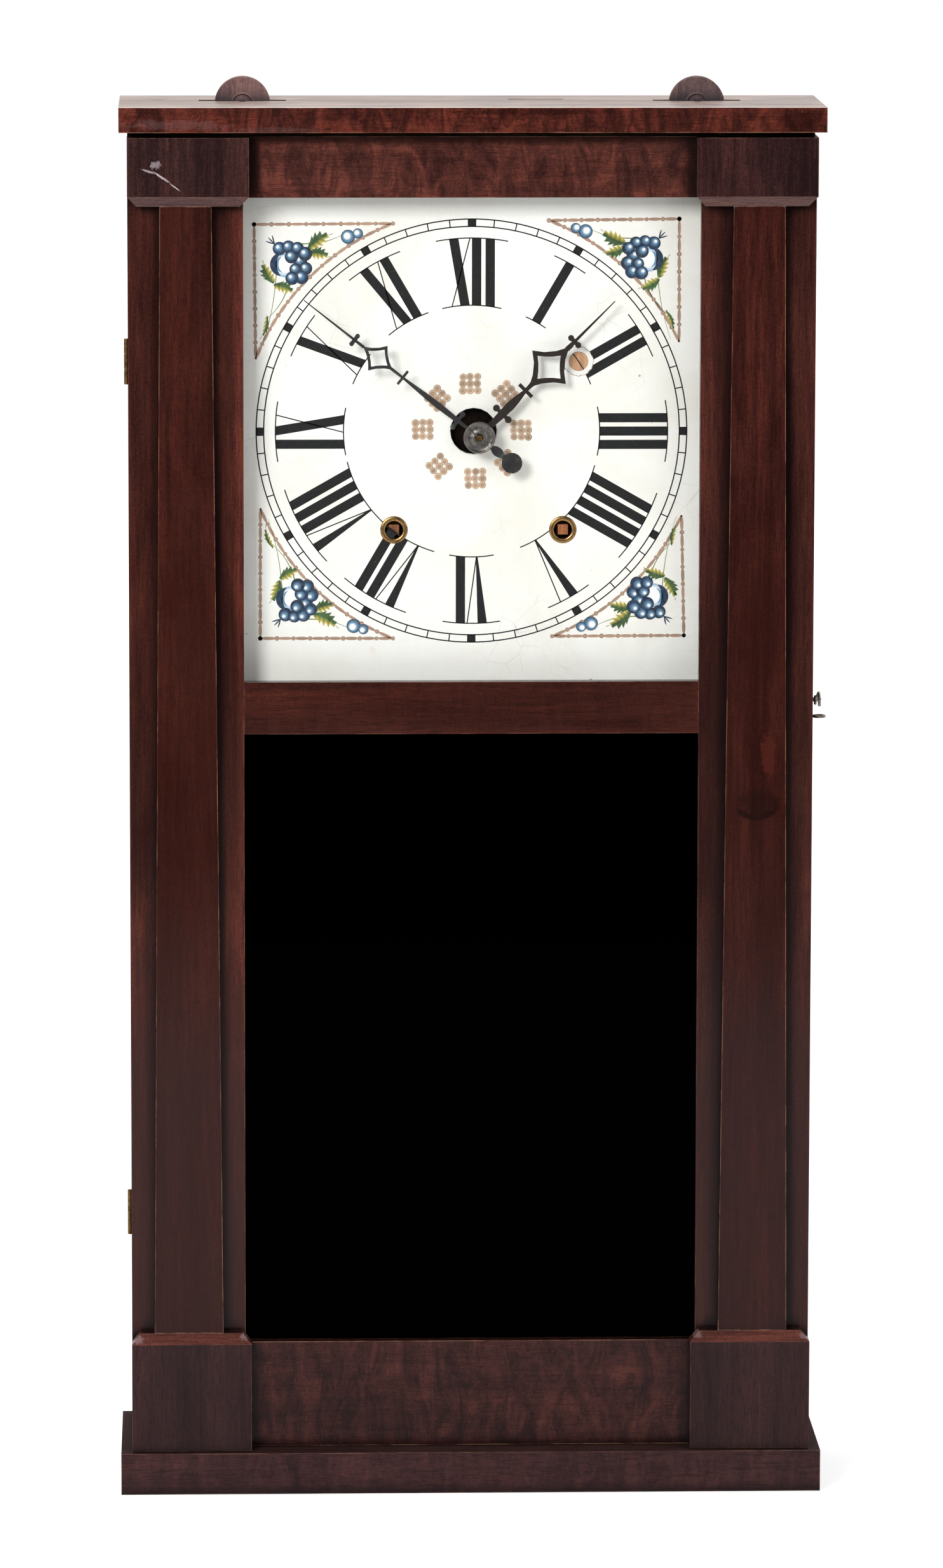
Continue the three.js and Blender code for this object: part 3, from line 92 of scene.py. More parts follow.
def outlet(node):
    """The socket with a node's result: the third of a colour mix, the first of any other."""
    return node.outputs[2 if node.bl_idname == "ShaderNodeMix" else 0]


def add(tree, kind, inputs=None, stops=None, **settings):
    """Adds a node: inputs maps a socket's name or number to a value, a socket or another node;
    stops are a colour ramp's (position, colour) pairs; settings are the node's own properties."""
    node = tree.nodes.new("ShaderNode" + kind)
    for key, value in settings.items():
        setattr(node, key, value)
    if stops:
        marks = node.color_ramp.elements
        for _ in range(len(stops) - len(marks)):
            marks.new(0.5)
        for mark, (position, tone) in zip(marks, stops):
            mark.position, mark.color = position, tone
    for key, value in (inputs or {}).items():
        if isinstance(value, bpy.types.Node):
            value = outlet(value)
        if isinstance(value, bpy.types.NodeSocket):
            tree.links.new(value, node.inputs[key])
        else:
            node.inputs[key].default_value = value
    return node


def seen_straight(tree, rays):
    """1 for rays from the camera, and for those that came through glass."""
    return add(tree, "Math", {0: rays.outputs["Is Camera Ray"], 1: rays.outputs["Is Transmission Ray"]},
               operation="MAXIMUM")


def light_the_room():
    """White paper behind the clock, and a dim room before it, as polish and metal reflect them."""
    world = bpy.data.worlds.new("studio")
    bpy.context.scene.world = world
    world.use_nodes = True
    tree = world.node_tree
    tree.nodes.clear()
    rays = add(tree, "LightPath")
    place = add(tree, "TexCoord").outputs["Generated"]
    depth = add(tree, "SeparateXYZ", {0: place}).outputs["Y"]
    shine = add(tree, "MapRange", {0: depth, 1: -0.3, 2: 0.4, 3: 0.03, 4: 1.0})
    paper = add(tree, "Background", {0: WHITE, 1: 1.0})
    mirrored = add(tree, "Background", {0: WHITE, 1: shine})
    ambient = add(tree, "Background", {0: WHITE, 1: AMBIENT})
    unseen = add(tree, "MixShader", {0: rays.outputs["Is Glossy Ray"], 1: ambient, 2: mirrored})
    both = add(tree, "MixShader", {0: seen_straight(tree, rays), 1: unseen, 2: paper})
    add(tree, "OutputWorld", {0: both})


def lay_floor():
    """White paper under the clock: it glows a little for the camera, and keeps the soft shadow."""
    mesh = bpy.data.meshes.new("floor")
    corners = ((-4, -2.05), (4, -2.05), (4, 9), (-4, 9))
    mesh.from_pydata([(x, y, FLOOR_HEIGHT) for x, y in corners], [], [(0, 1, 2, 3)])
    floor = bpy.data.objects.new("floor", mesh)
    bpy.context.scene.collection.objects.link(floor)
    material = bpy.data.materials.new("white_paper")
    material.use_nodes = True
    tree = material.node_tree
    tree.nodes.clear()
    rays = add(tree, "LightPath")
    paper, dim = (add(tree, "BsdfDiffuse", {0: (grey, grey, grey, 1)}) for grey in (FLOOR_PAPER, FLOOR_SEEN))
    here = add(tree, "TexCoord").outputs["Object"]
    away = add(tree, "VectorMath", {0: here}, operation="LENGTH").outputs["Value"]
    strength = add(tree, "MapRange", {0: away, 1: 0.2, 2: 0.9, 3: 0.72, 4: 1.0}, **SOFT)
    glow = add(tree, "Emission", {0: WHITE, 1: strength})
    lit = add(tree, "AddShader", {0: dim, 1: glow})
    both = add(tree, "MixShader", {0: seen_straight(tree, rays), 1: paper, 2: lit})
    add(tree, "OutputMaterial", {0: both})
    mesh.materials.append(material)


# ------------------------------------------------------------ finishes

GRAIN_DRAW = 0.05  # fibres are about twenty times longer than they are wide
DRAWN = {"x": (GRAIN_DRAW, 1, 1), "z": (1, 1, GRAIN_DRAW)}  # fibres and pores, along the grain
CLOUDY = {"x": (0.3, 1, 1), "z": (1, 1, 0.3)}  # the slow drift of a board's shade, along the grain
FLAMED = {"x": (1, 1, 0.38), "z": (0.38, 1, 1)}  # flames, across the grain
TINTS = {"data_type": "RGBA"}


def colour(code):
    """Linear colour of an sRGB hex value such as 5a261a."""
    parts = [int(code[k:k + 2], 16) / 255 for k in (0, 2, 4)]
    return tuple(c / 12.92 if c <= 0.04045 else ((c + 0.055) / 1.055) ** 2.4 for c in parts) + (1,)


def toned(base, red, green=None, blue=None):
    """base made lighter or darker by a factor, or by one for each channel."""
    factors = (red, red if green is None else green, red if blue is None else blue)
    return tuple(min(1.0, c * k) for c, k in zip(base, factors)) + (1,)


def across(mm):
    """Scale of a texture whose features are about this many millimetres across."""
    return 1 / (mm * MM)


def start_finish(name, roughness, metallic=0.0, specular=0.5):
    """A material, add bound to its node tree, its skin, and the object's own coordinates."""
    material = bpy.data.materials.new(name)
    material.use_nodes = True
    tree = material.node_tree
    skin = next(n for n in tree.nodes if n.type == "BSDF_PRINCIPLED")
    skin.inputs["Roughness"].default_value = roughness
    skin.inputs["Metallic"].default_value = metallic
    skin.inputs["Specular IOR Level"].default_value = specular
    put = functools.partial(add, tree)
    return material, put, skin, put("TexCoord").outputs["Object"]


def lay_over(put, under, *coats):
    """Lays coats over a colour or pattern, one after the other: each is (how much, what)."""
    for amount, coat in coats:
        under = put("Mix", {0: amount, 6: under, 7: coat}, **TINTS)
    return under


def close_finish(material, skin, shade, relief, dull=None):
    """Links the colour and the roughness, and chains bumps, each (height, depth in mm, strength)."""
    tree, normal = material.node_tree, None
    for height, depth, strength in relief:
        inputs = {"Height": height, "Distance": abs(depth) * MM, "Strength": strength}
        if normal:
            inputs["Normal"] = normal
        normal = add(tree, "Bump", inputs, invert=depth < 0)
    for socket, node in (("Base Color", shade), ("Roughness", dull), ("Normal", normal)):
        if node:
            tree.links.new(outlet(node), skin.inputs[socket])
    return material


def rubbed_edges(put, radius):
    """1 on arrises, 0 on flats: how far a rounded normal leans from the true one."""
    rounded = put("Bevel", {"Radius": radius * MM}, samples=4)
    true = put("NewGeometry").outputs["Normal"]
    lean = put("VectorMath", {0: rounded, 1: true}, operation="DOT_PRODUCT").outputs["Value"]
    return put("MapRange", {0: lean, 1: 0.99, 2: 0.84, 3: 0, 4: 1}, **SOFT)


def grime_and_shade_in_corners(put, reach, strength):
    """strength in inner corners, where old polish and dust gather and where shade falls, so it paints both
    grime and shade; 0 in the open.
    """
    shut = put("AmbientOcclusion", {"Distance": reach * MM}, samples=6).outputs["AO"]
    return put("MapRange", {0: shut, 1: 0.93, 2: 0.52, 3: 0, 4: strength}, **SOFT)


def ragged_mark(put, here, centre, radii, angle=0.0, ragged=1.2, strength=1.0, plane="xz"):
    """strength inside an ellipse (mm) that a noise makes ragged, 0 outside: the distance from the centre
    in units of the radii, plus the noise, passes 1. A positive angle leans it down to the right."""
    flat = {"xz": ((centre[0] * MM, 0, centre[1] * MM), (radii[0] * MM, 1e3, radii[1] * MM)),
            "xy": ((centre[0] * MM, centre[1] * MM, 0), (radii[0] * MM, radii[1] * MM, 1e3))}[plane]
    local = put("Mapping", {0: here, "Location": flat[0], "Scale": flat[1],
                            "Rotation": (0, math.radians(angle), 0)}, vector_type="TEXTURE")
    away = put("VectorMath", {0: local}, operation="LENGTH").outputs["Value"]
    grit = put("TexNoise", {0: here, "Scale": across(min(radii) * 0.9), "Detail": 3, "Roughness": 0.6})
    shifted = put("Math", {0: grit, 1: ragged, 2: -0.5 * ragged}, operation="MULTIPLY_ADD")
    total = put("Math", {0: away, 1: shifted}, operation="ADD")
    return put("MapRange", {0: total, 1: 1.0, 2: 0.55, 3: 0, 4: strength}, **SOFT)


def polished_wood(name, tone, grain, start, flame=0.0, contrast=1.0, rubbed=0.5, grime_and_shade=0.9,
                  roughness=0.20, marks=()):
    """Mahogany veneer, sliced and french-polished, or waxed cherry where a piece is cut or turned:
    red-brown ribbons 6 to 20 mm wide along the grain, open pores, a soft gloss that mirrors the floor
    low down, pale rubbed arrises, and dark polish and painted shade in the corners. The marks it is
    given paint knots, scuffs and dust, and also painted shadows, painted shade and a painted sheen of
    the floor. Pores are 0.2 mm wide on the real veneer and drawn at 0.6 mm, and specks of dust are
    drawn at 0.5 mm, so that they show."""
    material, put, skin, here = start_finish(name, roughness, specular=0.15)
    tone = colour(tone)
    drawn = put("Mapping", {0: here, "Scale": DRAWN[grain], "Location": (start, start * 0.37, start * 0.71)})
    loose = put("Mapping", {0: here, "Scale": CLOUDY[grain], "Location": (start, 0, start * 1.3)})
    ribbons = put("TexNoise", {0: drawn, "Scale": across(17), "Detail": 3, "Roughness": 0.6, "Distortion": 0.5})
    fibres = put("TexNoise", {0: drawn, "Scale": across(2.6), "Detail": 3, "Roughness": 0.65})
    clouds = put("TexNoise", {0: loose, "Scale": across(48), "Detail": 3, "Roughness": 0.6, "Distortion": 0.9})
    mottle = put("TexNoise", {0: here, "Scale": across(1.6), "Detail": 3, "Roughness": 0.65})
    figure = lay_over(put, ribbons, (0.40, fibres), (0.30, clouds))
    if flame:
        turned = put("Mapping", {0: here, "Scale": FLAMED[grain], "Location": (start * 2, 0, start)})
        flames = put("TexNoise", {0: turned, "Scale": across(13), "Detail": 5,
                                  "Roughness": 0.7, "Distortion": 1.4})
        figure = lay_over(put, figure, (flame, flames))
    figure = lay_over(put, figure, (0.2, mottle))
    spread = 0.085 / contrast
    shade = put("ValToRGB", {0: figure}, stops=[
        (0.5 - spread, toned(tone, 0.42, 0.46, 0.52)),
        (0.5 - spread * 0.3, toned(tone, 0.80)),
        (0.5 + spread * 0.35, toned(tone, 1.22, 1.15, 1.08)),
        (0.5 + spread, toned(tone, 1.9, 1.75, 1.5))])
    pores = put("TexNoise", {0: drawn, "Scale": across(0.6)})
    open_pores = put("MapRange", {0: pores, 1: 0.54, 2: 0.63, 3: 0, 4: 0.55})
    patchy = put("TexNoise", {0: loose, "Scale": across(8), "Detail": 4, "Roughness": 0.7})
    rubs = put("MapRange", {0: patchy, 1: 0.42, 2: 0.62, 3: 0.15 * rubbed, 4: rubbed}, **SOFT)
    bare = put("Math", {0: rubbed_edges(put, 0.9), 1: rubs}, operation="MULTIPLY")
    dust = put("TexNoise", {0: here, "Scale": across(0.5)})
    specks = put("MapRange", {0: dust, 1: 0.735, 2: 0.78, 3: 0, 4: 0.35})
    # "dark" serves knots and stains, and also painted shadows and painted shade; the grey sheen kind is a
    # painted reflection of the pale floor
    paints = {"dark": toned(tone, 0.24), "scuff": colour("b8a9ad"), "dust": colour("7e6767"),
              "warm": toned(tone, 2.0, 1.7, 1.3), "deep": toned(tone, 0.5, 0.3, 0.2),
              "bloom": toned(tone, 0.56, 0.92, 1.14)}
    shade = lay_over(
        put, shade, (open_pores, toned(tone, 0.35)),
        *((ragged_mark(put, here, *mark), paints[kind]) for kind, *mark in marks),
        # old polish, dust and painted shade darken the inner corners
        (grime_and_shade_in_corners(put, 10, grime_and_shade), toned(tone, 0.12, 0.2, 0.25)),
        (bare, colour("9d735c")), (specks, colour("9d8780")))
    dull = put("MapRange", {0: clouds, 1: 0.3, 2: 0.7, 3: roughness - 0.03, 4: roughness + 0.08})
    relief = [(fibres, 0.04, 0.4), (open_pores, -0.03, 0.5), (clouds, 0.4, 0.2)]
    return close_finish(material, skin, shade, relief, dull)


def bare_board(name, tone, grain, start, stained=0.5, marks=()):
    """Unfinished pine, oak or cherry, planed and aged: grain lines about 2 mm apart, grey and brown
    stains, no gloss, dust and painted shade in the corners, and near-black painted shade inside the marks."""
    material, put, skin, here = start_finish(name, 0.72, specular=0.08)
    tone = colour(tone)
    drawn = put("Mapping", {0: here, "Scale": DRAWN[grain], "Location": (start, start * 0.6, start * 0.3)})
    bands = put("TexNoise", {0: drawn, "Scale": across(12), "Detail": 4, "Roughness": 0.6, "Distortion": 0.7})
    lines = put("TexNoise", {0: drawn, "Scale": across(2.4)})
    clouds = put("TexNoise", {0: here, "Scale": across(70), "Detail": 4, "Roughness": 0.65, "Distortion": 0.6})
    shade = put("ValToRGB", {0: lay_over(put, bands, (0.35, lines), (0.3, clouds))}, stops=[
        (0.36, toned(tone, 0.55, 0.5, 0.45)), (0.47, toned(tone, 0.9)),
        (0.55, toned(tone, 1.1)), (0.66, toned(tone, 1.4))])
    blots = put("TexNoise", {0: here, "Scale": across(45), "Detail": 5, "Roughness": 0.7, "Distortion": 0.8})
    stain = put("MapRange", {0: blots, 1: 0.52, 2: 0.68, 3: 0, 4: stained}, **SOFT)
    edges = put("Math", {0: rubbed_edges(put, 0.8), 1: 0.3}, operation="MULTIPLY")
    shade = lay_over(
        put, shade, (stain, toned(tone, 0.5, 0.42, 0.38)),
        # dust and painted shade in the corners; the marks paint near-black shade
        (grime_and_shade_in_corners(put, 9, 0.6), toned(tone, 0.3)), (edges, toned(tone, 1.5)),
        *((ragged_mark(put, here, *mark), colour("0b0706")) for mark in marks))
    return close_finish(material, skin, shade, [(lines, 0.12, 0.6), (bands, 0.2, 0.3)])


def worn_cornice_top():
    """Top of the cornice, once varnished, now worn to grey-brown wood: streaks along the board, dark
    scars 10 to 45 mm long, dark blots round the slots, a paler front edge where hands rubbed it."""
    material, put, skin, here = start_finish("worn_varnished_cornice_top", 0.42)
    tone = colour("928079")
    drawn = put("Mapping", {0: here, "Scale": DRAWN["x"]})
    streaks = put("TexNoise", {0: drawn, "Scale": across(8), "Detail": 4, "Roughness": 0.65, "Distortion": 0.6})
    clouds = put("TexNoise", {0: here, "Scale": across(38), "Detail": 4, "Roughness": 0.65, "Distortion": 1.0})
    shade = put("ValToRGB", {0: lay_over(put, streaks, (0.5, clouds))}, stops=[
        (0.38, toned(tone, 0.5, 0.42, 0.4)), (0.5, tone), (0.64, toned(tone, 1.5))])
    depth = put("SeparateXYZ", {0: here}).outputs["Y"]
    front = put("MapRange", {0: depth, 1: -0.044, 2: -0.056, 3: 0, 4: 0.6}, **SOFT)
    blots = put("TexNoise", {0: drawn, "Scale": across(17), "Detail": 4, "Roughness": 0.7})
    dark = put("MapRange", {0: blots, 1: 0.56, 2: 0.66, 3: 0, 4: 0.5}, **SOFT)
    scars = (((-158, -46), (23, 3.2)), ((-120, -50), (9, 2.4)), ((-139, 10), (24, 7)),
             ((139, 10), (24, 7)), ((28, 30), (9, 2.2)), ((112, -10), (12, 2)), ((-192, 20), (8, 5)))
    scars = [ragged_mark(put, here, *scar, ragged=1.3, strength=0.8, plane="xy") for scar in scars]
    shade = lay_over(put, shade, (front, colour("e6d7cf")), (dark, colour("573c33")),
                     *((scar, colour("55332d")) for scar in scars))
    dull = put("MapRange", {0: clouds, 1: 0.3, 2: 0.7, 3: 0.36, 4: 0.52})
    return close_finish(material, skin, shade, [(streaks, 0.2, 0.4)], dull)


def aged_metal(name, tone, patina, roughness, spread=0.5, grain=4.0, metallic=1.0):
    """Hand-finished brass, iron or pewter: a darker patina in patches of grain mm, grime and painted
    shade in the corners, and rubbed bright edges. Pits are drawn at 0.6 mm, about twice their size, so that
    they show."""
    material, put, skin, here = start_finish(name, roughness, metallic)
    tone, patina = colour(tone), colour(patina)
    patches = put("TexNoise", {0: here, "Scale": across(grain), "Detail": 4,
                               "Roughness": 0.65, "Distortion": 0.4})
    pits = put("TexNoise", {0: here, "Scale": across(0.6)})
    both = lay_over(put, patches, (0.3, pits))
    film = put("MapRange", {0: both, 1: 0.62 - spread * 0.3, 2: 0.66, 3: 0, 4: 1}, **SOFT)
    edges = put("Math", {0: rubbed_edges(put, 0.4), 1: 0.6}, operation="MULTIPLY")
    # grime and painted shade in the corners
    shade = lay_over(put, tone, (film, patina), (grime_and_shade_in_corners(put, 3, 0.7), toned(patina, 0.5)),
                     (edges, toned(tone, 1.7)))
    dull = put("MapRange", {0: patches, 1: 0.3, 2: 0.7, 3: roughness - 0.05, 4: roughness + 0.15})
    return close_finish(material, skin, shade, [(pits, 0.03, 0.5), (patches, 0.08, 0.4)], dull)


DIAL_FACE = -13.0  # y of the dial board's front, in mm
RING_X, RING_Z, SQUASH = 0.7, 657.1, 0.9865  # the chapter ring's centre, and its height over its width
HOLE = (1.9, 657.2)


def whitened_dial():
    """Lead-white oil paint on a gessoed board: eggshell gloss, a cloth-like weave of brush marks (0.5 mm
    apart, drawn at 1.1 mm so that it shows), hair cracks in patches, small brown specks, and bare brown
    wood where it broke away at the hole and the foot."""
    material, put, skin, here = start_finish("lead_white_on_gesso", 0.42, specular=0.3)
    clouds = put("TexNoise", {0: here, "Scale": across(90), "Detail": 4, "Roughness": 0.6, "Distortion": 0.6})
    shade = put("ValToRGB", {0: clouds}, stops=[
        (0.32, colour("f0eee4")), (0.55, colour("f9f9f3")), (0.8, colour("fdfdf8"))])
    upright, level = (
        put("TexNoise", {0: put("Mapping", {0: here, "Scale": drawn}), "Scale": across(1.1)})
        for drawn in ((1, 1, 0.06), (0.06, 1, 1)))
    weave = lay_over(put, upright, (0.5, level))
    thread = put("MapRange", {0: weave, 1: 0.5, 2: 0.62, 3: 0, 4: 0.10})
    cracks = put("TexVoronoi", {0: here, "Scale": across(14)}, feature="DISTANCE_TO_EDGE")
    hair = put("MapRange", {0: cracks, 1: 0.018, 2: 0.0, 3: 0, 4: 0.24})
    where = put("TexNoise", {0: here, "Scale": across(60), "Detail": 3, "Roughness": 0.6})
    patch = put("MapRange", {0: where, 1: 0.5, 2: 0.66, 3: 0, 4: 1})
    hair = put("Math", {0: hair, 1: patch}, operation="MULTIPLY")
    dots = put("TexVoronoi", {0: here, "Scale": across(16)})
    speck = put("MapRange", {0: dots, 1: 0.06, 2: 0.03, 3: 0, 4: 0.7})
    few = put("TexNoise", {0: here, "Scale": across(30), "Detail": 1})
    few = put("MapRange", {0: few, 1: 0.57, 2: 0.61, 3: 0, 4: 1})
    speck = put("Math", {0: speck, 1: few}, operation="MULTIPLY")
    tea = put("TexNoise", {0: here, "Scale": across(24), "Detail": 5, "Roughness": 0.7, "Distortion": 0.6})
    stain = put("MapRange", {0: tea, 1: 0.64, 2: 0.8, 3: 0, 4: 0.3}, **SOFT)
    height = put("SeparateXYZ", {0: here}).outputs["Z"]
    foot = put("MapRange", {0: height, 1: 0.5014, 2: 0.4998, 3: 0, 4: 1}, **SOFT)
    broken = (((HOLE, (15.9, 15.7), 0, 0.12), "563526"), (((74.5, 501.6), (1.3, 2.2), 0, 0.8), "402219"),
              (((116.5, 501.2), (2.2, 2.0), 0, 0.8), "402219"),
              (((102, 499.8), (6, 0.7), 0, 0.8), "65422f"), (((-30, 500), (8, 0.7), 0, 0.8), "65422f"))
    shade = lay_over(
        put, shade, (thread, colour("dedacb")), (hair, colour("99907f")), (speck, colour("837263")),
        (stain, colour("e0c099")),
        *((ragged_mark(put, here, *mark), colour(wood)) for mark, wood in broken),
        (foot, colour("65422f")))
    return close_finish(material, skin, shade, [(weave, 0.05, 0.35), (cracks, 0.05, 0.2), (clouds, 0.8, 0.15)])


def brushed_paint(name, chipped, depth, thinned=0.12):
    """Oil paint laid with a small brush; its colours are in the mesh. Streaks of bristles, drawn 2.6 mm
    wide so that they show, and chips under 1 mm that bare the white ground."""
    material, put, skin, here = start_finish(name, 0.45, specular=0.3)
    own = put("VertexColor", layer_name="pigment")
    streaks = put("TexNoise", {0: here, "Scale": across(2.6), "Detail": 3, "Roughness": 0.6, "Distortion": 0.8})
    thin = put("MapRange", {0: streaks, 1: 0.35, 2: 0.75, 3: 0, 4: thinned})
    flakes = put("TexNoise", {0: here, "Scale": across(0.8), "Detail": 3, "Roughness": 0.65})
    chips = put("MapRange", {0: flakes, 1: 0.70, 2: 0.74, 3: 0, 4: chipped})
    shade = lay_over(put, own, (thin, colour("b7b7b3")), (chips, colour("e9e5da")))
    return close_finish(material, skin, shade, [(streaks, depth, 0.5)])


def old_window_glass():
    """Thin blown window glass, slightly wavy: nearly all light goes through."""
    material, put, skin, here = start_finish("old_window_glass", 0.03)
    skin.inputs["Alpha"].default_value = 0.012
    waves = put("TexNoise", {0: here, "Scale": across(110), "Roughness": 0.4})
    shade = put("ValToRGB", {0: waves}, stops=[(0.3, colour("272b29")), (0.7, colour("303533"))])
    return close_finish(material, skin, shade, [(waves, 0.6, 0.15)])


def looking_glass_painted_black():
    """Silvered glass that faces a dim room, with its silver given a near-black colour as a painted dark
    reflection, and worn spots in the silvering.
    """
    material, put, skin, here = start_finish("looking_glass_with_painted_dark_reflection", 0.04, metallic=1.0)
    silver = put("TexNoise", {0: here, "Scale": across(14), "Detail": 5, "Roughness": 0.7})
    worn = put("MapRange", {0: silver, 1: 0.66, 2: 0.78, 3: 0, 4: 1})
    waves = put("TexNoise", {0: here, "Scale": across(110), "Roughness": 0.4})
    # near-black silver: a painted dark reflection
    shade = lay_over(put, colour("010101"), (worn, colour("000000")))
    return close_finish(material, skin, shade, [(waves, 0.5, 0.1)])


# ------------------------------------------------------------ surfaces


def grid_faces(rows, columns, wrap_rows=False, wrap_columns=False):
    """Corner numbers of the quads of a rows by columns grid of points, wrapped where it closes."""
    r = np.arange(rows if wrap_rows else rows - 1)
    c = np.arange(columns if wrap_columns else columns - 1)
    r, c = (a.ravel() for a in np.meshgrid(r, c, indexing="ij"))
    below, beside = (r + 1) % rows, (c + 1) % columns
    corners = (r * columns + c, r * columns + beside, below * columns + beside, below * columns + c)
    return np.stack(corners, axis=1)


def lay_mesh(name, points, faces, material, pigment=None, smooth=True):
    """A mesh object from points in mm (n by 3) and quads (m by 4). Points that coincide are merged, so
    that seams and poles close."""
    mesh = bpy.data.meshes.new(name)
    mesh.from_pydata((points * MM).tolist(), [], faces.tolist())
    if pigment is not None:
        layer = mesh.color_attributes.new("pigment", "FLOAT_COLOR", "POINT")
        layer.data.foreach_set("color", np.asarray(pigment, np.float32).ravel())
    merged = bmesh.new()
    merged.from_mesh(mesh)
    bmesh.ops.remove_doubles(merged, verts=merged.verts, dist=0.002 * MM)
    merged.to_mesh(mesh)
    merged.free()
    mesh.materials.append(material)
    if smooth:
        mesh.shade_smooth()
        mesh.set_sharp_from_angle(angle=math.radians(38))
    piece = bpy.data.objects.new(name, mesh)
    bpy.context.scene.collection.objects.link(piece)
    return piece


def turn_on_lathe(name, centre, profile, material, sides=72):
    """A profile of (radius, depth) points, in mm, carried round a Y axis through centre (x, z):
    x = cx + r cos a, z = cz + r sin a. The profile closes on itself."""
    radius, depth = np.array(profile, float).T
    angle = np.linspace(0, 2 * math.pi, sides, endpoint=False)
    x = centre[0] + np.outer(radius, np.cos(angle))
    z = centre[1] + np.outer(radius, np.sin(angle))
    y = np.repeat(depth[:, None], sides, axis=1)
    points = np.stack((x, y, z), axis=2).reshape(-1, 3)
    faces = grid_faces(len(profile), sides, True, True)
    area = np.sum(radius * np.roll(depth, -1) - np.roll(radius, -1) * depth)
    return lay_mesh(name, points, faces if area < 0 else faces[:, ::-1], material)


class DialPaint:
    """Flat brushwork on the dial's face, gathered into one mesh. Layer n lies n films thick."""

    FILM = 0.03

    def __init__(self):
        self.points, self.faces, self.pigment, self.count = [], [], [], 0

    def lay(self, grid, pigment, layer, wrap=False):
        """Adds a grid (rows by columns by 2, in x and z), turned so that it faces the front."""
        rows, columns = grid.shape[:2]
        flat = grid.reshape(-1, 2)
        faces = grid_faces(rows, columns, wrap_columns=wrap)
        x, z = flat[faces, 0], flat[faces, 1]
        area = np.sum(x * np.roll(z, -1, axis=1) - np.roll(x, -1, axis=1) * z)
        depth = np.full(len(flat), DIAL_FACE - self.FILM * layer)
        self.points.append(np.stack((flat[:, 0], depth, flat[:, 1]), axis=1))
        self.faces.append((faces if area > 0 else faces[:, ::-1]) + self.count)
        self.pigment.append(np.broadcast_to(pigment, (rows, columns, 4)).reshape(-1, 4))
        self.count += len(flat)

    def band(self, left, right, pigment, layer=1):
        """Strip between two lines of points."""
        self.lay(np.stack((left, right), axis=1), pigment, layer)

    def stroke(self, line, width, pigment, layer=1):
        """Brush line: each point is moved half the width to both sides along the line's normal."""
        line = np.asarray(line, float)
        run = np.gradient(line, axis=0)
        run /= np.linalg.norm(run, axis=1, keepdims=True)
        aside = np.stack((-run[:, 1], run[:, 0]), axis=1) * (np.broadcast_to(width, len(line))[:, None] / 2)
        self.band(line + aside, line - aside, pigment, layer)

    def dab(self, centre, radius, shades, layer=1, shift=(0, 0), sides=18):
        """Round dab: rings at shares of the radius, each with its colour; the middle is moved by shift,
        and each ring by what is left of it."""
        angle = np.linspace(0, 2 * math.pi, sides, endpoint=False)
        share = np.array([part for part, _ in shades])[:, None, None]
        ring = np.stack((np.cos(angle), np.sin(angle)), axis=1)
        grid = np.asarray(centre) + share * radius * ring + (1 - share) * np.asarray(shift)
        tone = np.array([tone for _, tone in shades])[:, None, :]
        self.lay(grid, np.broadcast_to(tone, (len(shades), sides, 4)), layer, wrap=True)

    def dry(self, name, material):
        """Makes the piece from the gathered brushwork, as a film 0.02 mm thick."""
        piece = lay_mesh(name, np.concatenate(self.points), np.concatenate(self.faces), material,
                         np.concatenate(self.pigment), smooth=False)
        film = piece.modifiers.new("film", "SOLIDIFY")
        film.thickness, film.offset = 0.02 * MM, -1
        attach(piece, "case")


# ------------------------------------------------------------ the painted dial

INK = colour("171719")
CLAY = colour("b8977f")
NAVY, SKY, PALE = colour("112f4d"), colour("6390af"), colour("ffffff")
RING_OUTER, RING_INNER, RING_LINE = 132.4, 127.8, 0.78
FIGURE_OUTER, FIGURE_INNER = 120.6, 78.8
THICK, HAIR, SERIF, GAP = 5.75, 0.72, 0.72, 2.6
HOURS = ("XII", "I", "II", "III", "IIII", "V", "VI", "VII", "VIII", "IX", "X", "XI")


def on_ring(radius, degrees):
    """Point of the slightly squashed dial circle: x = cx + r sin a, z = cz + squash r cos a."""
    a = np.radians(degrees)
    x, z = RING_X + radius * np.sin(a), RING_Z + SQUASH * radius * np.cos(a)
    return np.stack(np.broadcast_arrays(x, z), axis=-1)


def sweep(radius, start, end, steps):
    """Points along the dial circle from start to end degrees."""
    return on_ring(radius, np.linspace(start, end, steps + 1))


def strokes_of(numeral):
    """Quads (outer left, outer right, inner right, inner left) in (across, outward) mm, and the half
    width. Down strokes to the right are thick and up strokes are hair lines."""
    quads, x = [], 0.0
    for k, letter in enumerate(numeral):
        if letter == "I":
            quads.append(((x, 1), (x + THICK, 1), (x + THICK, 0), (x, 0)))
            x += THICK + GAP
            continue
        wide = 13.2 if letter == "X" else 12.6
        if letter == "X":
            left, right = x + 1.6, x + 12.8
            quads.append(((x, 1), (x + THICK, 1), (right, 0), (right - THICK, 0)))
            quads.append(((x + wide - HAIR, 1), (x + wide, 1), (left + HAIR, 0), (left, 0)))
        else:
            apex = x + wide / 2
            quads.append(((x, 1), (x + THICK, 1), (apex + 0.6, 0), (apex - 0.5, 0)))
            quads.append(((x + wide - HAIR, 1), (x + wide, 1), (apex + 0.6, 0), (apex + 0.6 - HAIR, 0)))
        x += wide + (0.9 if numeral[k + 1:k + 2] == "I" else GAP)
    quads = np.array(quads, float)
    width = quads[:, :, 0].max()
    quads[:, :, 0] -= width / 2
    return quads, width / 2


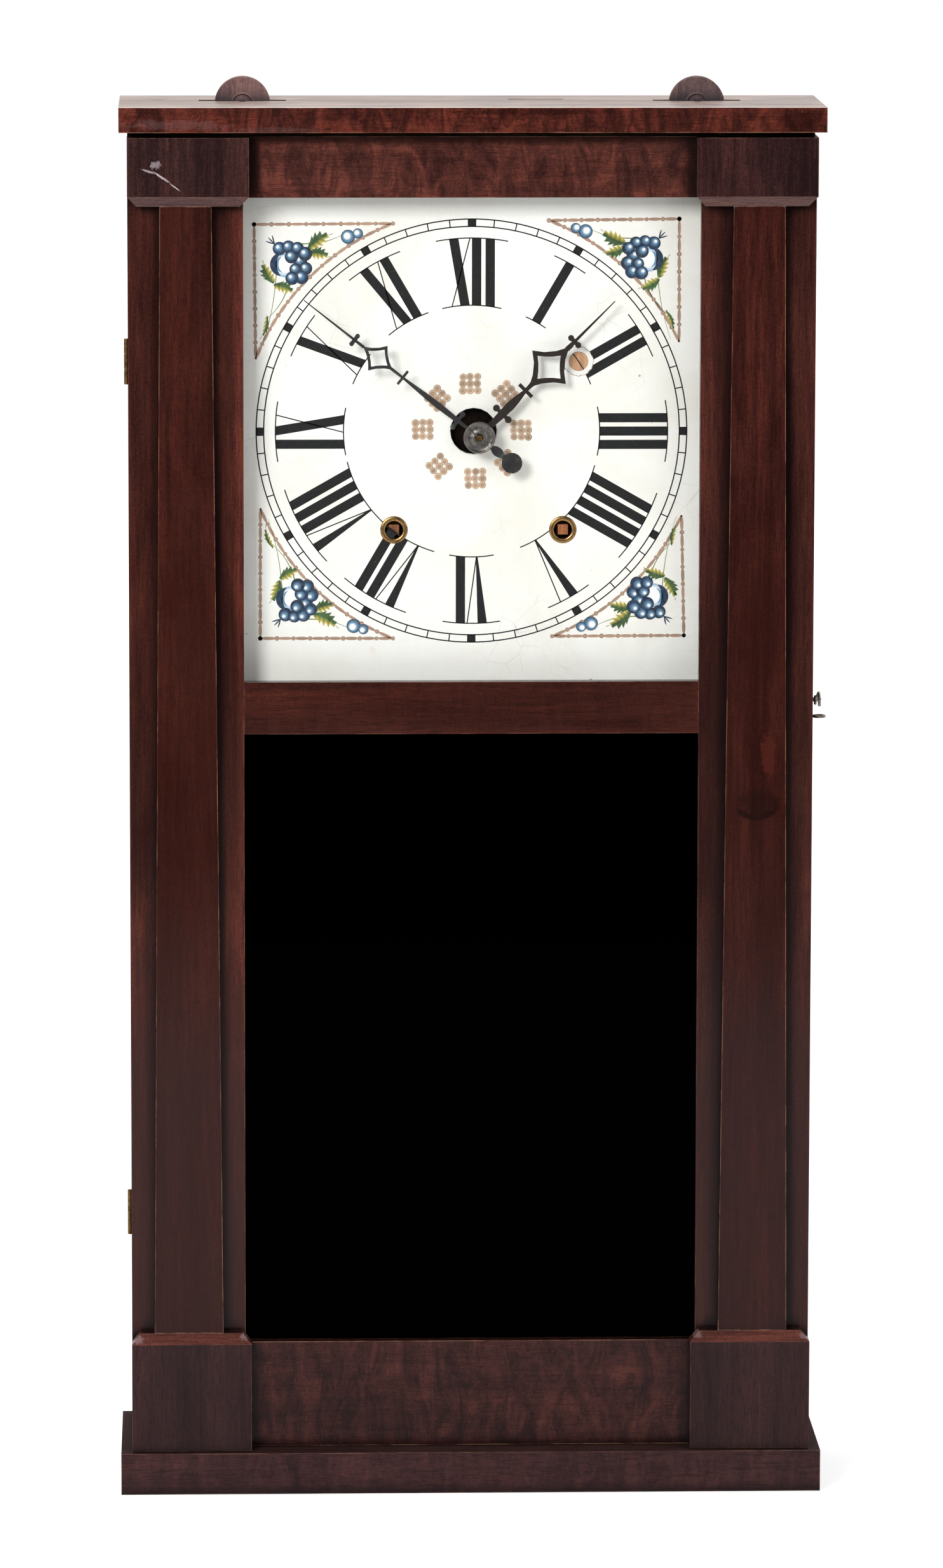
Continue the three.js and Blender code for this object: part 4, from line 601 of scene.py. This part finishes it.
def letter_chapter_ring(material):
    """Minute track, twelve stressed Roman numerals that stand on the centre, and their serif arcs."""
    paint = DialPaint()

    def arc(outer, inner, middle, half, steps):
        paint.band(sweep(outer, middle - half, middle + half, steps),
                   sweep(inner, middle - half, middle + half, steps), INK)

    for radius in (RING_OUTER, RING_INNER):
        arc(radius + RING_LINE / 2, radius - RING_LINE / 2, 180, 180, 240)
    for minute in range(60):
        arc(RING_OUTER, RING_INNER, 6 * minute, 0.16 if minute % 5 else 1.15, 2)
    for hour, numeral in enumerate(HOURS):
        turn = math.radians(30 * hour)
        quads, half = strokes_of(numeral)
        for k, quad in enumerate(quads):
            u, ends = quad[:, 0], quad[:, 1]
            inner = FIGURE_INNER + (7.5 if (hour, k) == (2, 0) else 0)  # the plug's filler hides one foot
            outward = np.sqrt((inner + ends * (FIGURE_OUTER - inner)) ** 2 - u ** 2)
            x = RING_X + u * math.cos(turn) + outward * math.sin(turn)
            z = RING_Z + SQUASH * (outward * math.cos(turn) - u * math.sin(turn))
            corners = np.stack((x, z), axis=1)
            along = np.linspace(0, 1, 9)[:, None]
            left = corners[0] + (corners[3] - corners[0]) * along
            right = corners[1] + (corners[2] - corners[1]) * along
            paint.band(left, right, INK)
        for radius, reach in ((FIGURE_OUTER, 8.2), (FIGURE_INNER, 4.2)):
            angle = math.degrees((half + reach) / radius)
            arc(radius + SERIF / 2, radius - SERIF / 2, 30 * hour, angle, 14)
    paint.dry("chapter_ring", material)


def bead_and_reel(paint, line, rng):
    """Painted border: a thin line, long dabs that swell in the middle, and a bead between dabs."""
    line = np.asarray(line, float)
    lengths = np.concatenate(([0], np.cumsum(np.linalg.norm(np.diff(line, axis=0), axis=1))))
    whole = lengths[-1]

    def at(distance):
        return np.stack([np.interp(distance, lengths, line[:, k]) for k in (0, 1)], axis=-1)

    count = max(2, round(whole / 10.5))
    pitch = whole / count
    paint.stroke(at(np.linspace(0, whole, 61)), 1.2, toned(CLAY, 1.05), 1)
    for k in range(count):
        share = np.linspace(0, 1, 9)
        swell = 1.2 + 0.8 * np.sin(math.pi * share) ** 0.6 * rng.uniform(0.75, 1.15)
        reel = at(k * pitch + pitch * (0.16 + 0.68 * share))
        paint.stroke(reel, swell, toned(CLAY, rng.uniform(0.74, 1.0)), 2)
        bead = ((0, toned(CLAY, 1.2)), (1, toned(CLAY, 0.6)))
        paint.dab(at(k * pitch), rng.uniform(1.2, 1.5), bead, 3, sides=10)


def saw_leaf(paint, base, tip, width):
    """Leaf on a bent midrib whose half width is w sin(pi t) with saw teeth; one side green, the other
    yellow-green."""
    base, tip = np.asarray(base, float), np.asarray(tip, float)
    run = tip - base
    aside = np.array([-run[1], run[0]])
    t = np.linspace(0, 1, 13)
    tooth = np.where(np.arange(13) % 2, 1.0, 0.5)
    half = width * np.sin(math.pi * np.minimum(t * 1.1 + 0.08, 1)) ** 0.8 * tooth
    half = np.maximum(half, 0.01) / np.linalg.norm(run)  # never nothing, or both sides share the tip
    rib = base + t[:, None] * run + 0.10 * np.sin(math.pi * t)[:, None] * aside
    lean = np.where(np.arange(13) % 2, 0.10, 0.0)[:, None] * run
    green, lime = colour("3c5e2f"), colour("d1c051")
    tones = np.array([[toned(green, 0.6), green], [toned(green, 1.2), lime]])
    for side, (inner, outer) in zip((1, -1), tones):
        paint.lay(np.stack((rib, rib + side * half[:, None] * aside + lean), axis=1),
                  np.stack((inner, outer))[None], 4)


def paint_corner(name, corner, along, down, mirror, material, rng):
    """A plain spray for a dial corner: a round cluster of blue berries, a bud, saw-edged leaves and
    tendrils, inside two straight borders and one that follows the ring."""
    sx, sz = mirror
    paint = DialPaint()
    bead_and_reel(paint, [corner, along], rng)
    bead_and_reel(paint, [corner, down], rng)
    ends = np.array([along, down]) - (RING_X, RING_Z)
    ends[:, 1] /= SQUASH
    angles = np.unwrap(np.arctan2(ends[:, 0], ends[:, 1]))
    radii = np.hypot(ends[:, 0], ends[:, 1])
    t = np.linspace(0, 1, 25)
    bead_and_reel(paint, on_ring(radii[0] + (radii[1] - radii[0]) * t - 0.8 * np.sin(math.pi * t),
                                 np.degrees(angles[0] + (angles[1] - angles[0]) * t)), rng)

    def at(u, v):
        return np.stack(np.broadcast_arrays(corner[0] + sx * u, corner[1] - sz * v), axis=-1)

    t = np.linspace(0, 1, 13)
    tendrils = (((22, 34), (8, 58), 0.8), ((26, 12), (54, 6.5), 0.8), ((14, 24), (5, 74), 0.6))
    for (u0, v0), (u1, v1), weight in tendrils:
        bow = 1.6 * np.sin(math.pi * t)
        line = at(u0 + (u1 - u0) * t + bow, v0 + (v1 - v0) * t + bow)
        paint.stroke(line, weight * (1 - 0.7 * t), colour("7b8c42"), 2)
    leaves = (((33, 15), (48, 6.0), 5.0), ((33, 17.5), (47, 20.5), 4.2), ((12, 36), (5.5, 22), 4.0),
              ((12, 37), (25, 42.5), 4.0), ((8, 56), (3.6, 70), 1.8))
    for base, tip, width in leaves:
        saw_leaf(paint, at(*base), at(*tip), width)
    paint.dab(at(19.0, 25.0), 7.4, ((0, PALE), (0.6, PALE), (1, toned(SKY, 1.5))), 4, (-1, 1), sides=24)
    t = np.linspace(0, 1, 15)
    for reach, weight, tone in ((7.2, 4.2, NAVY), (5.0, 1.8, SKY)):
        a = 2.1 + 2.2 * t
        paint.stroke(at(19.0 + reach * np.cos(a), 24.5 - reach * np.sin(a) * 1.05),
                     weight * np.sin(math.pi * (0.08 + 0.88 * t)), tone, 5)
    berries = ((15.5, 14.8), (21.0, 13.8), (26.6, 14.6), (31.2, 18.0), (22.8, 19.8), (28.2, 22.6),
               (31.6, 27.0), (25.4, 27.6), (29.0, 32.4), (23.2, 33.0))
    for k, (u, v) in enumerate(berries):
        deep = toned(NAVY, rng.uniform(0.8, 1.4))
        skin = ((0, PALE), (0.14, PALE), (0.34, SKY), (0.7, deep), (1, toned(deep, 0.6)))
        paint.dab(at(u, v), rng.uniform(3.8, 4.4), skin, 6 + k % 5, (-1.4 * sx, 1.4 * sz))
    for u, v, radius, layer in ((57.5, 7.6, 4.4, 5), (63.5, 5.6, 3.2, 6)):
        petals = ((0, PALE), (0.35, PALE), (0.6, SKY), (1, NAVY))
        paint.dab(at(u, v), radius, petals, layer, (-1.2 * sx, 1.0 * sz))
    t = np.linspace(0, 1, 5)
    for spread in (-0.5, 0.0, 0.5):
        paint.stroke(at(12.5 - 5.5 * t * math.cos(0.8 + spread), 12 - 5.5 * t * math.sin(0.8 + spread)),
                     0.35 + 0.5 * np.sin(math.pi * t), NAVY, 3)
    paint.dry(name, material)


def mould_gesso_dots(material):
    """Eight groups of nine raised dots round the centre. Each dot is a profile of (radius, height)
    carried round its own middle: a low rim, a hollow and a point. Its tan is darker at the foot and in
    the hollow and lighter on the rim's crest: painted shade and a painted highlight on the relief."""
    rng = np.random.default_rng(3)
    groups = ((-0.2, 686.5, 0), (21.3, 680.2, 40), (31.1, 657.8, 0), (22.9, 637.8, 45), (3.0, 628.0, 0),
              (-19.3, 635.5, 40), (-29.5, 658.3, 0), (-20.5, 677.5, 45))
    profile = np.array(((0, 0), (2.3, 0), (2.25, 0.22), (1.8, 0.55), (1.3, 0.57), (0.85, 0.34),
                        (0.35, 0.45), (0, 0.45)))
    sides = 16
    angle = np.linspace(0, 2 * math.pi, sides, endpoint=False)
    tan = np.array(colour("c9aa8e"))
    # tone of each profile ring: painted shade at the foot and in the hollow, a painted highlight on the crest
    worn = np.array((0.4, 0.4, 0.8, 1.1, 1.0, 0.5, 0.85, 0.8))[:, None, None]
    points, faces, pigment, count = [], [], [], 0
    for gx, gz, degrees in groups:
        c, s = math.cos(math.radians(degrees)), math.sin(math.radians(degrees))
        for i in (-1, 0, 1):
            for j in (-1, 0, 1):
                u, v = i * 4.45 + rng.uniform(-0.2, 0.2), j * 4.2 + rng.uniform(-0.2, 0.2)
                radius = profile[:, :1] * rng.uniform(0.92, 1.05)
                x = gx + u * c - v * s + radius * np.cos(angle)
                z = gz + u * s + v * c + radius * np.sin(angle)
                y = np.broadcast_to(DIAL_FACE - 0.02 - profile[:, 1:], x.shape)
                points.append(np.stack((x, y, z), axis=2).reshape(-1, 3))
                faces.append(grid_faces(len(profile), sides, wrap_columns=True) + count)
                tone = np.broadcast_to(tan * rng.uniform(0.72, 1.12), (len(profile), sides, 4)) * worn
                pigment.append(np.clip(tone, 0, 1).reshape(-1, 4))
                count += len(profile) * sides
    piece = lay_mesh("gesso_dots", np.concatenate(points), np.concatenate(faces), material,
                     np.concatenate(pigment))
    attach(piece, "case")


def fill_plug_rim(material):
    """White filler, 18 mm across, spread round the dial's plug, with a ragged brown outline."""
    rng = np.random.default_rng(5)
    paint, a = DialPaint(), np.linspace(0, 2 * math.pi, 49)
    wobble = rng.uniform(-0.5, 0.4, 48)
    reach = 9.1 + np.append(wobble, wobble[0])
    middle = np.array(PLUG)
    ring = np.stack((np.cos(a), np.sin(a)), axis=1)
    far, near = middle + reach[:, None] * ring, middle + 6.0 * ring
    paint.band(far, near, colour("f0efe8"), 3)
    paint.stroke(far, rng.uniform(0.1, 0.55, 49), colour("9b8876"), 4)
    paint.dry("plug_filler", material)


# ------------------------------------------------------------ turned pieces


def size_of(name):
    """Lowest and highest corner of a CAD node, in mm."""
    return [tuple(c / MM for c in corner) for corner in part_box(name)]


def middle_of(name):
    """Middle of a CAD node as seen from the front, in mm across and up."""
    low, high = size_of(name)
    return (low[0] + high[0]) / 2, (low[2] + high[2]) / 2


def turn_pulley(side, material):
    """Wooden pulley: a hub bead, a flat web, a rounded rim and a V groove, the same on both faces."""
    name = "pulley_" + side
    low, high = size_of(name)
    r, y0, y1 = (high[0] - low[0]) / 2, low[1], high[1]
    face = [(1.75, 0.1), (3.2, 0.0), (4.4, 0.25), (4.8, 0.9), (5.6, 1.0), (6.4, 0.35), (7.0, 0.55),
            (7.6, 1.0), (12.5, 0.8), (15.6, 0.35), (r - 0.4, 0.3), (r, 0.75), (r - 0.3, 1.6), (r - 2.2, 2.8)]
    middle = (y0 + y1) / 2
    profile = [(radius, y0 + inset) for radius, inset in face] + [(r - 2.6, middle)]
    profile += [(radius, y1 - inset) for radius, inset in reversed(face)]
    piece = turn_on_lathe(name + "_turned", middle_of(name), profile, material, sides=96)
    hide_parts(name)
    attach(piece, name)


def spin_grommet(side, material):
    """Brass grommet: a half-round bead on the dial's face and a sleeve through it."""
    name = "winding_grommet_" + side
    low, high = size_of(name)
    r, y0, y1 = (high[0] - low[0]) / 2, low[1], high[1]
    bore, sleeve = 5.45, 6.2
    bead, centre, foot = (r - bore) / 2, (r + bore) / 2, DIAL_FACE - 0.05
    profile = [(centre + bead * math.cos(t), foot - (foot - y0) * math.sin(t))
               for t in np.linspace(0, math.pi, 13)]
    profile += [(bore, y1), (sleeve, y1), (sleeve, DIAL_FACE + 0.02), (r, DIAL_FACE + 0.02)]
    piece = turn_on_lathe(name + "_bead", middle_of(name), profile, material, sides=64)
    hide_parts(name)
    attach(piece, "case")


def dish_washer(material):
    """Pewter washer: a rolled rim round a shallow dish with a raised middle."""
    low, high = size_of("hand_washer")
    r, y0, y1 = (high[0] - low[0]) / 2, low[1], high[1]
    profile = [(2.1, y1), (r - 0.3, y1), (r, y1 - 0.3), (r - 0.1, y0 + 0.35), (r - 0.7, y0 + 0.02),
               (r - 1.3, y0 + 0.25), (r - 1.9, y0 + 0.75), (r - 4.2, y0 + 0.95), (r - 5.2, y0 + 0.6),
               (r - 6.0, y0 + 0.2), (2.6, y0 + 0.1), (2.1, y0 + 0.4)]
    piece = turn_on_lathe("hand_washer_dished", middle_of("hand_washer"), profile, material, sides=64)
    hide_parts("hand_washer")
    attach(piece, "minute_hand")


# ------------------------------------------------------------ dressing the clock


def ease(name, arris):
    """Rounds a node's sharp edges by arris mm, as sandpaper and hands do."""
    edge = nodes[name].modifiers.new("arris", "BEVEL")
    edge.width, edge.segments = arris * MM, 2
    edge.limit_method, edge.angle_limit = "ANGLE", math.radians(30)


def dress(names, material, arris=0.0):
    """Gives CAD nodes their finish, and eases their arrises by that many mm."""
    for name in names.split():
        nodes[name].data.materials.clear()
        nodes[name].data.materials.append(material)
        if arris:
            ease(name, arris)


def dress_faces(names, materials, choose, arris=0.0):
    """Gives nodes several finishes: choose(centre, normal) says which one a face has."""
    for name in names.split():
        mesh = nodes[name].data
        mesh.materials.clear()
        for material in materials:
            mesh.materials.append(material)
        for face in mesh.polygons:
            face.material_index = choose(face.center, face.normal)
        if arris:
            ease(name, arris)


def dress_case():
    """Boards, door and blocks, each with its own veneer and the marks that the photograph shows on it.
    A mark is (kind, centre, radii, angle, raggedness, strength)."""
    knot = (("dark", (177, 431), (15, 11), 10, 1.6, 0.55), ("dark", (168, 424), (8, 2.6), 30, 1.2, 0.8),
            ("dark", (180, 423), (9, 2.2), -25, 1.2, 0.8), ("warm", (182, 462), (5, 18), 0, 1.6, 0.5))
    scuffs = (("scuff", (-189, 816.5), (6.5, 0.75), 34, 1.7, 0.85),
              ("scuff", (-197, 820), (5, 0.8), 18, 1.9, 0.6),
              ("scuff", (-193, 823.5), (3.6, 2.6), -25, 2.4, 0.4),
              ("scuff", (-181, 810.5), (4.6, 0.45), 36, 1.3, 0.9))
    # painted shadows on the top rail: under the cornice, and beside each capital
    painted_rail_shadows = (("dark", (0, 842), (420, 8), 0, 0.25, 0.7), ("dark", (-137, 822), (10, 60), 0, 0.3, 0.75),
            ("dark", (138, 822), (9.5, 60), 0, 0.3, 0.75))
    foot = (("dust", (-207, 97), (5, 3), 0, 1.4, 0.8), ("dust", (-140, 98), (4, 2.4), 0, 1.4, 0.7),
            ("dust", (207, 97), (4, 2.4), 0, 1.4, 0.6), ("dust", (139, 98), (5, 2.4), 0, 1.4, 0.6))
    sides = (("left", -1, "49241e", 0.3, "3b1a15", 4.1, 0.8, ()),
             ("right", 1, "3f201c", 1.7, "391915", 6.3, 0.95, knot))
    for side, sign, stile, stile_start, pilaster, start, contrast, knots in sides:
        # painted shade: the stile's middle is darkened beside the pilaster, and a narrow strip beside the
        # pilaster gets a painted shadow
        dim = ("dark", (sign * 175, 470), (60, 190), 0, 0.5, 0.4)
        shaded = ("dark", (sign * 151, 480), (9, 420), 0, 0.3, 0.25)
        deep = ("deep", (sign * 178, 450), (40, 190), 0, 0.5, 0.5)
        # a grey painted reflection of the pale floor, low on stiles and pilasters
        bloom = ("bloom", (sign * 175, 130), (90, 250), 0, 0.3, 0.65)
        dress("door_stile_" + side, polished_wood("mahogany_stile_" + side, stile, "z", stile_start,
                                                  marks=(dim, shaded, bloom, *knots[:1])), 0.5)
        dress("pilaster_" + side, polished_wood("mahogany_pilaster_" + side, pilaster, "z", start,
                                                contrast=contrast, rubbed=1.2,
                                                marks=(deep, bloom, *knots)), 0.4)
    # the capitals' chamfers are paler: wear, and a painted reflection of the floor
    worn_and_sheen_chamfer = polished_wood("mahogany_chamfers_worn_and_painted_sheen", "604745", "x", 1.9, contrast=0.6, grime_and_shade=0.4)
    red_chamfer = polished_wood("red_mahogany_chamfers", "512d28", "x", 2.9, contrast=0.9, rubbed=1.0,
                                grime_and_shade=0.6, marks=foot)
    capital_left = polished_wood("mahogany_capital_left", "392322", "z", 2.2, contrast=1.1, grime_and_shade=0.6,
                                 marks=scuffs)
    capital_right = polished_wood("mahogany_capital_right", "351f1f", "z", 3.9, contrast=1.1, grime_and_shade=0.6)
    plinth = polished_wood("mahogany_plinths", "321e1f", "z", 5.2, contrast=0.6, grime_and_shade=0.6)
    for names, face, chamfer in (("capital_left", capital_left, worn_and_sheen_chamfer),
                                 ("capital_right", capital_right, worn_and_sheen_chamfer),
                                 ("plinth_left plinth_right", plinth, red_chamfer)):
        dress_faces(names, [face, chamfer], lambda c, n: 1 if 0.3 < abs(n.z) < 0.95 else 0, 0.4)
    for rail, tone, start, look in (("top_rail", "4c2924", 1.1, {"flame": 0.6, "contrast": 1.1, "marks": painted_rail_shadows}),
                                    ("mid_rail", "3c1c17", 2.6, {"flame": 0.2, "contrast": 0.8}),
                                    ("bottom_rail", "3b201e", 3.3, {"flame": 0.6, "rubbed": 1.3})):
        dress("door_" + rail, polished_wood("mahogany_" + rail, tone, "x", start, **look), 0.4)
    base = polished_wood("mahogany_base", "3c2425", "x", 4.4, flame=0.5, contrast=0.7, rubbed=0.8)
    dress_faces("base_board", [base, bare_board("bare_base_ledge", "3c2725", "x", 5.4)],
                lambda c, n: 1 if n.z > 0.9 else 0, 0.6)
    pine = bare_board("old_planed_pine", "7e6348", "z", 0.7)
    flank = polished_wood("mahogany_case_side", "48261f", "z", 7.7)
    dress_faces("case_side_left case_side_right", [flank, pine],
                lambda c, n: 0 if abs(c.x) > 0.2095 or c.y < -0.0225 else 1)
    wear = (("dust", (-180, 848), (38, 3.6), 0, 2.2, 0.14), ("dust", (-120, 845), (30, 2.0), 0, 2.2, 0.10),
            ("dark", (40, 856), (60, 2.4), 0, 1.6, 0.6), ("dark", (198, 851), (16, 8), 0, 1.6, 0.5))
    front = polished_wood("mahogany_cornice", "49211b", "x", 8.8, flame=0.7, contrast=1.2, rubbed=1.6,
                          grime_and_shade=0.4, marks=wear)
    dress_faces("top_board", [front, worn_cornice_top(), pine],
                lambda c, n: 1 if n.z > 0.7 and c.z > 0.85 else (2 if n.z < -0.7 else 0), 0.6)
    dress("back_board looking_glass_backboard", pine, 0.4)
    dress("dial_plug", bare_board("bare_plug_wood", "ca9d7a", "z", 2.0, stained=0.1))


def dress_movement():
    """The wooden movement, its weights and wires, the hands, and what is turned on the lathe."""
    # a near-black patch round the dial's centre hole paints the shade that fills the hole
    painted_shade_at_hole = ((HOLE, (30, 30), 0, 0.5),)
    dress("movement_front_plate", bare_board("oak_with_painted_shade_at_hole", "56422d", "z", 1.4, marks=painted_shade_at_hole), 0.3)
    dress("movement_rear_plate", bare_board("old_planed_oak", "675137", "z", 2.9, stained=0.4), 0.3)
    cherry = polished_wood("waxed_cherry", "99613e", "z", 9.1, contrast=0.7, rubbed=0.2, grime_and_shade=0.5,
                           roughness=0.5)
    dress("time_drum strike_drum time_great_wheel strike_great_wheel time_second_wheel centre_wheel "
          "third_wheel strike_pin_wheel strike_fly", cherry)
    blackened = polished_wood("oil_blackened_cherry", "1d130d", "z", 7.4, contrast=0.6, rubbed=0.1)
    dress("minute_wheel hour_wheel", blackened)
    dress("escape_wheel pendulum_bob minute_arbor", aged_metal("aged_cast_brass", "c29751", "6b4d2d", 0.32))
    dress("hinge_upper_case_leaf hinge_upper_door_leaf hinge_lower_case_leaf hinge_lower_door_leaf",
          aged_metal("browned_hinge_brass", "8e6c42", "4a3020", 0.4, 0.8, 3.0))
    dress("latch_hook case_screw_eye door_screw_eye",
          aged_metal("drawn_iron_wire", "999083", "51443a", 0.35))
    dress("verge pendulum_rod hand_pin pulley_axle_left pulley_axle_right",
          aged_metal("dull_filed_steel", "8a8a8a", "49403c", 0.4))
    dress("time_weight strike_weight hammer bell",
          aged_metal("sand_cast_iron", "494442", "312620", 0.6, 0.8, 2.4, 0.5))
    dress("hour_hand", aged_metal("browned_pewter_hand", "332d2a", "2d221e", 0.45, 0.6, metallic=0.6))
    dress("minute_hand", aged_metal("greened_pewter_hand", "373535", "54635c", 0.42, 0.3, 7.0, metallic=0.6))
    dish_washer(aged_metal("cast_pewter", "7b7672", "3e3a37", 0.38, 0.55, 3.3))
    ring = aged_metal("turned_grommet_brass", "aa8656", "5c422a", 0.28, 0.35, 3.3)
    for side, tone, start in (("left", "775c5b", 3.4), ("right", "675354", 5.1)):
        spin_grommet(side, ring)
        turn_pulley(side, polished_wood("turned_pulley_wood_" + side, tone, "z", start, contrast=0.8,
                                        rubbed=0.35, roughness=0.5))


def dress_dial():
    """The white dial, its figures, corner sprays and gesso, and the two panes of the door."""
    dress("dial_board", whitened_dial())
    letter_chapter_ring(brushed_paint("lamp_black_in_oil", 0.5, 0.04, thinned=0.02))
    colours = brushed_paint("brushed_oil_colours", 0.2, 0.08)
    rng = np.random.default_rng(7)
    corners = (
        ("upper_left", (-132.7, 784.5), (-47.7, 785.0), (-131.9, 701.8), (1, 1)),
        ("upper_right", (127.8, 787.7), (47.8, 786.8), (128.1, 712.0), (-1, 1)),
        ("lower_left", (-129.4, 529.1), (-47.6, 528.9), (-129.2, 609.8), (1, -1)),
        ("lower_right", (132.0, 530.3), (50.6, 530.0), (130.2, 605.0), (-1, -1)),
    )
    for name, corner, along, down, mirror in corners:
        paint_corner("corner_" + name, corner, along, down, mirror, colours, rng)
    mould_gesso_dots(brushed_paint("tinted_gesso", 0.1, 0.04))
    fill_plug_rim(brushed_paint("white_oil_filler", 0.1, 0.04))
    dress("dial_glass", old_window_glass())
    dress("looking_glass", looking_glass_painted_black())


PLUG = middle_of("dial_plug")
place_camera()
light_the_room()
lay_floor()
hang_softbox("key", (-1.31, -2.81, 1.80), (0, 0, 0.5), 0.9, 67.5)
hang_softbox("fill", (2.3, -2.6, 1.4), (0, 0, 0.5), 1.8, 20)
hang_softbox("overhead", (0.0, 0.3, 2.6), (0, 0.05, 0.6), 1.4, 26.5)
dress_case()
dress_movement()
dress_dial()
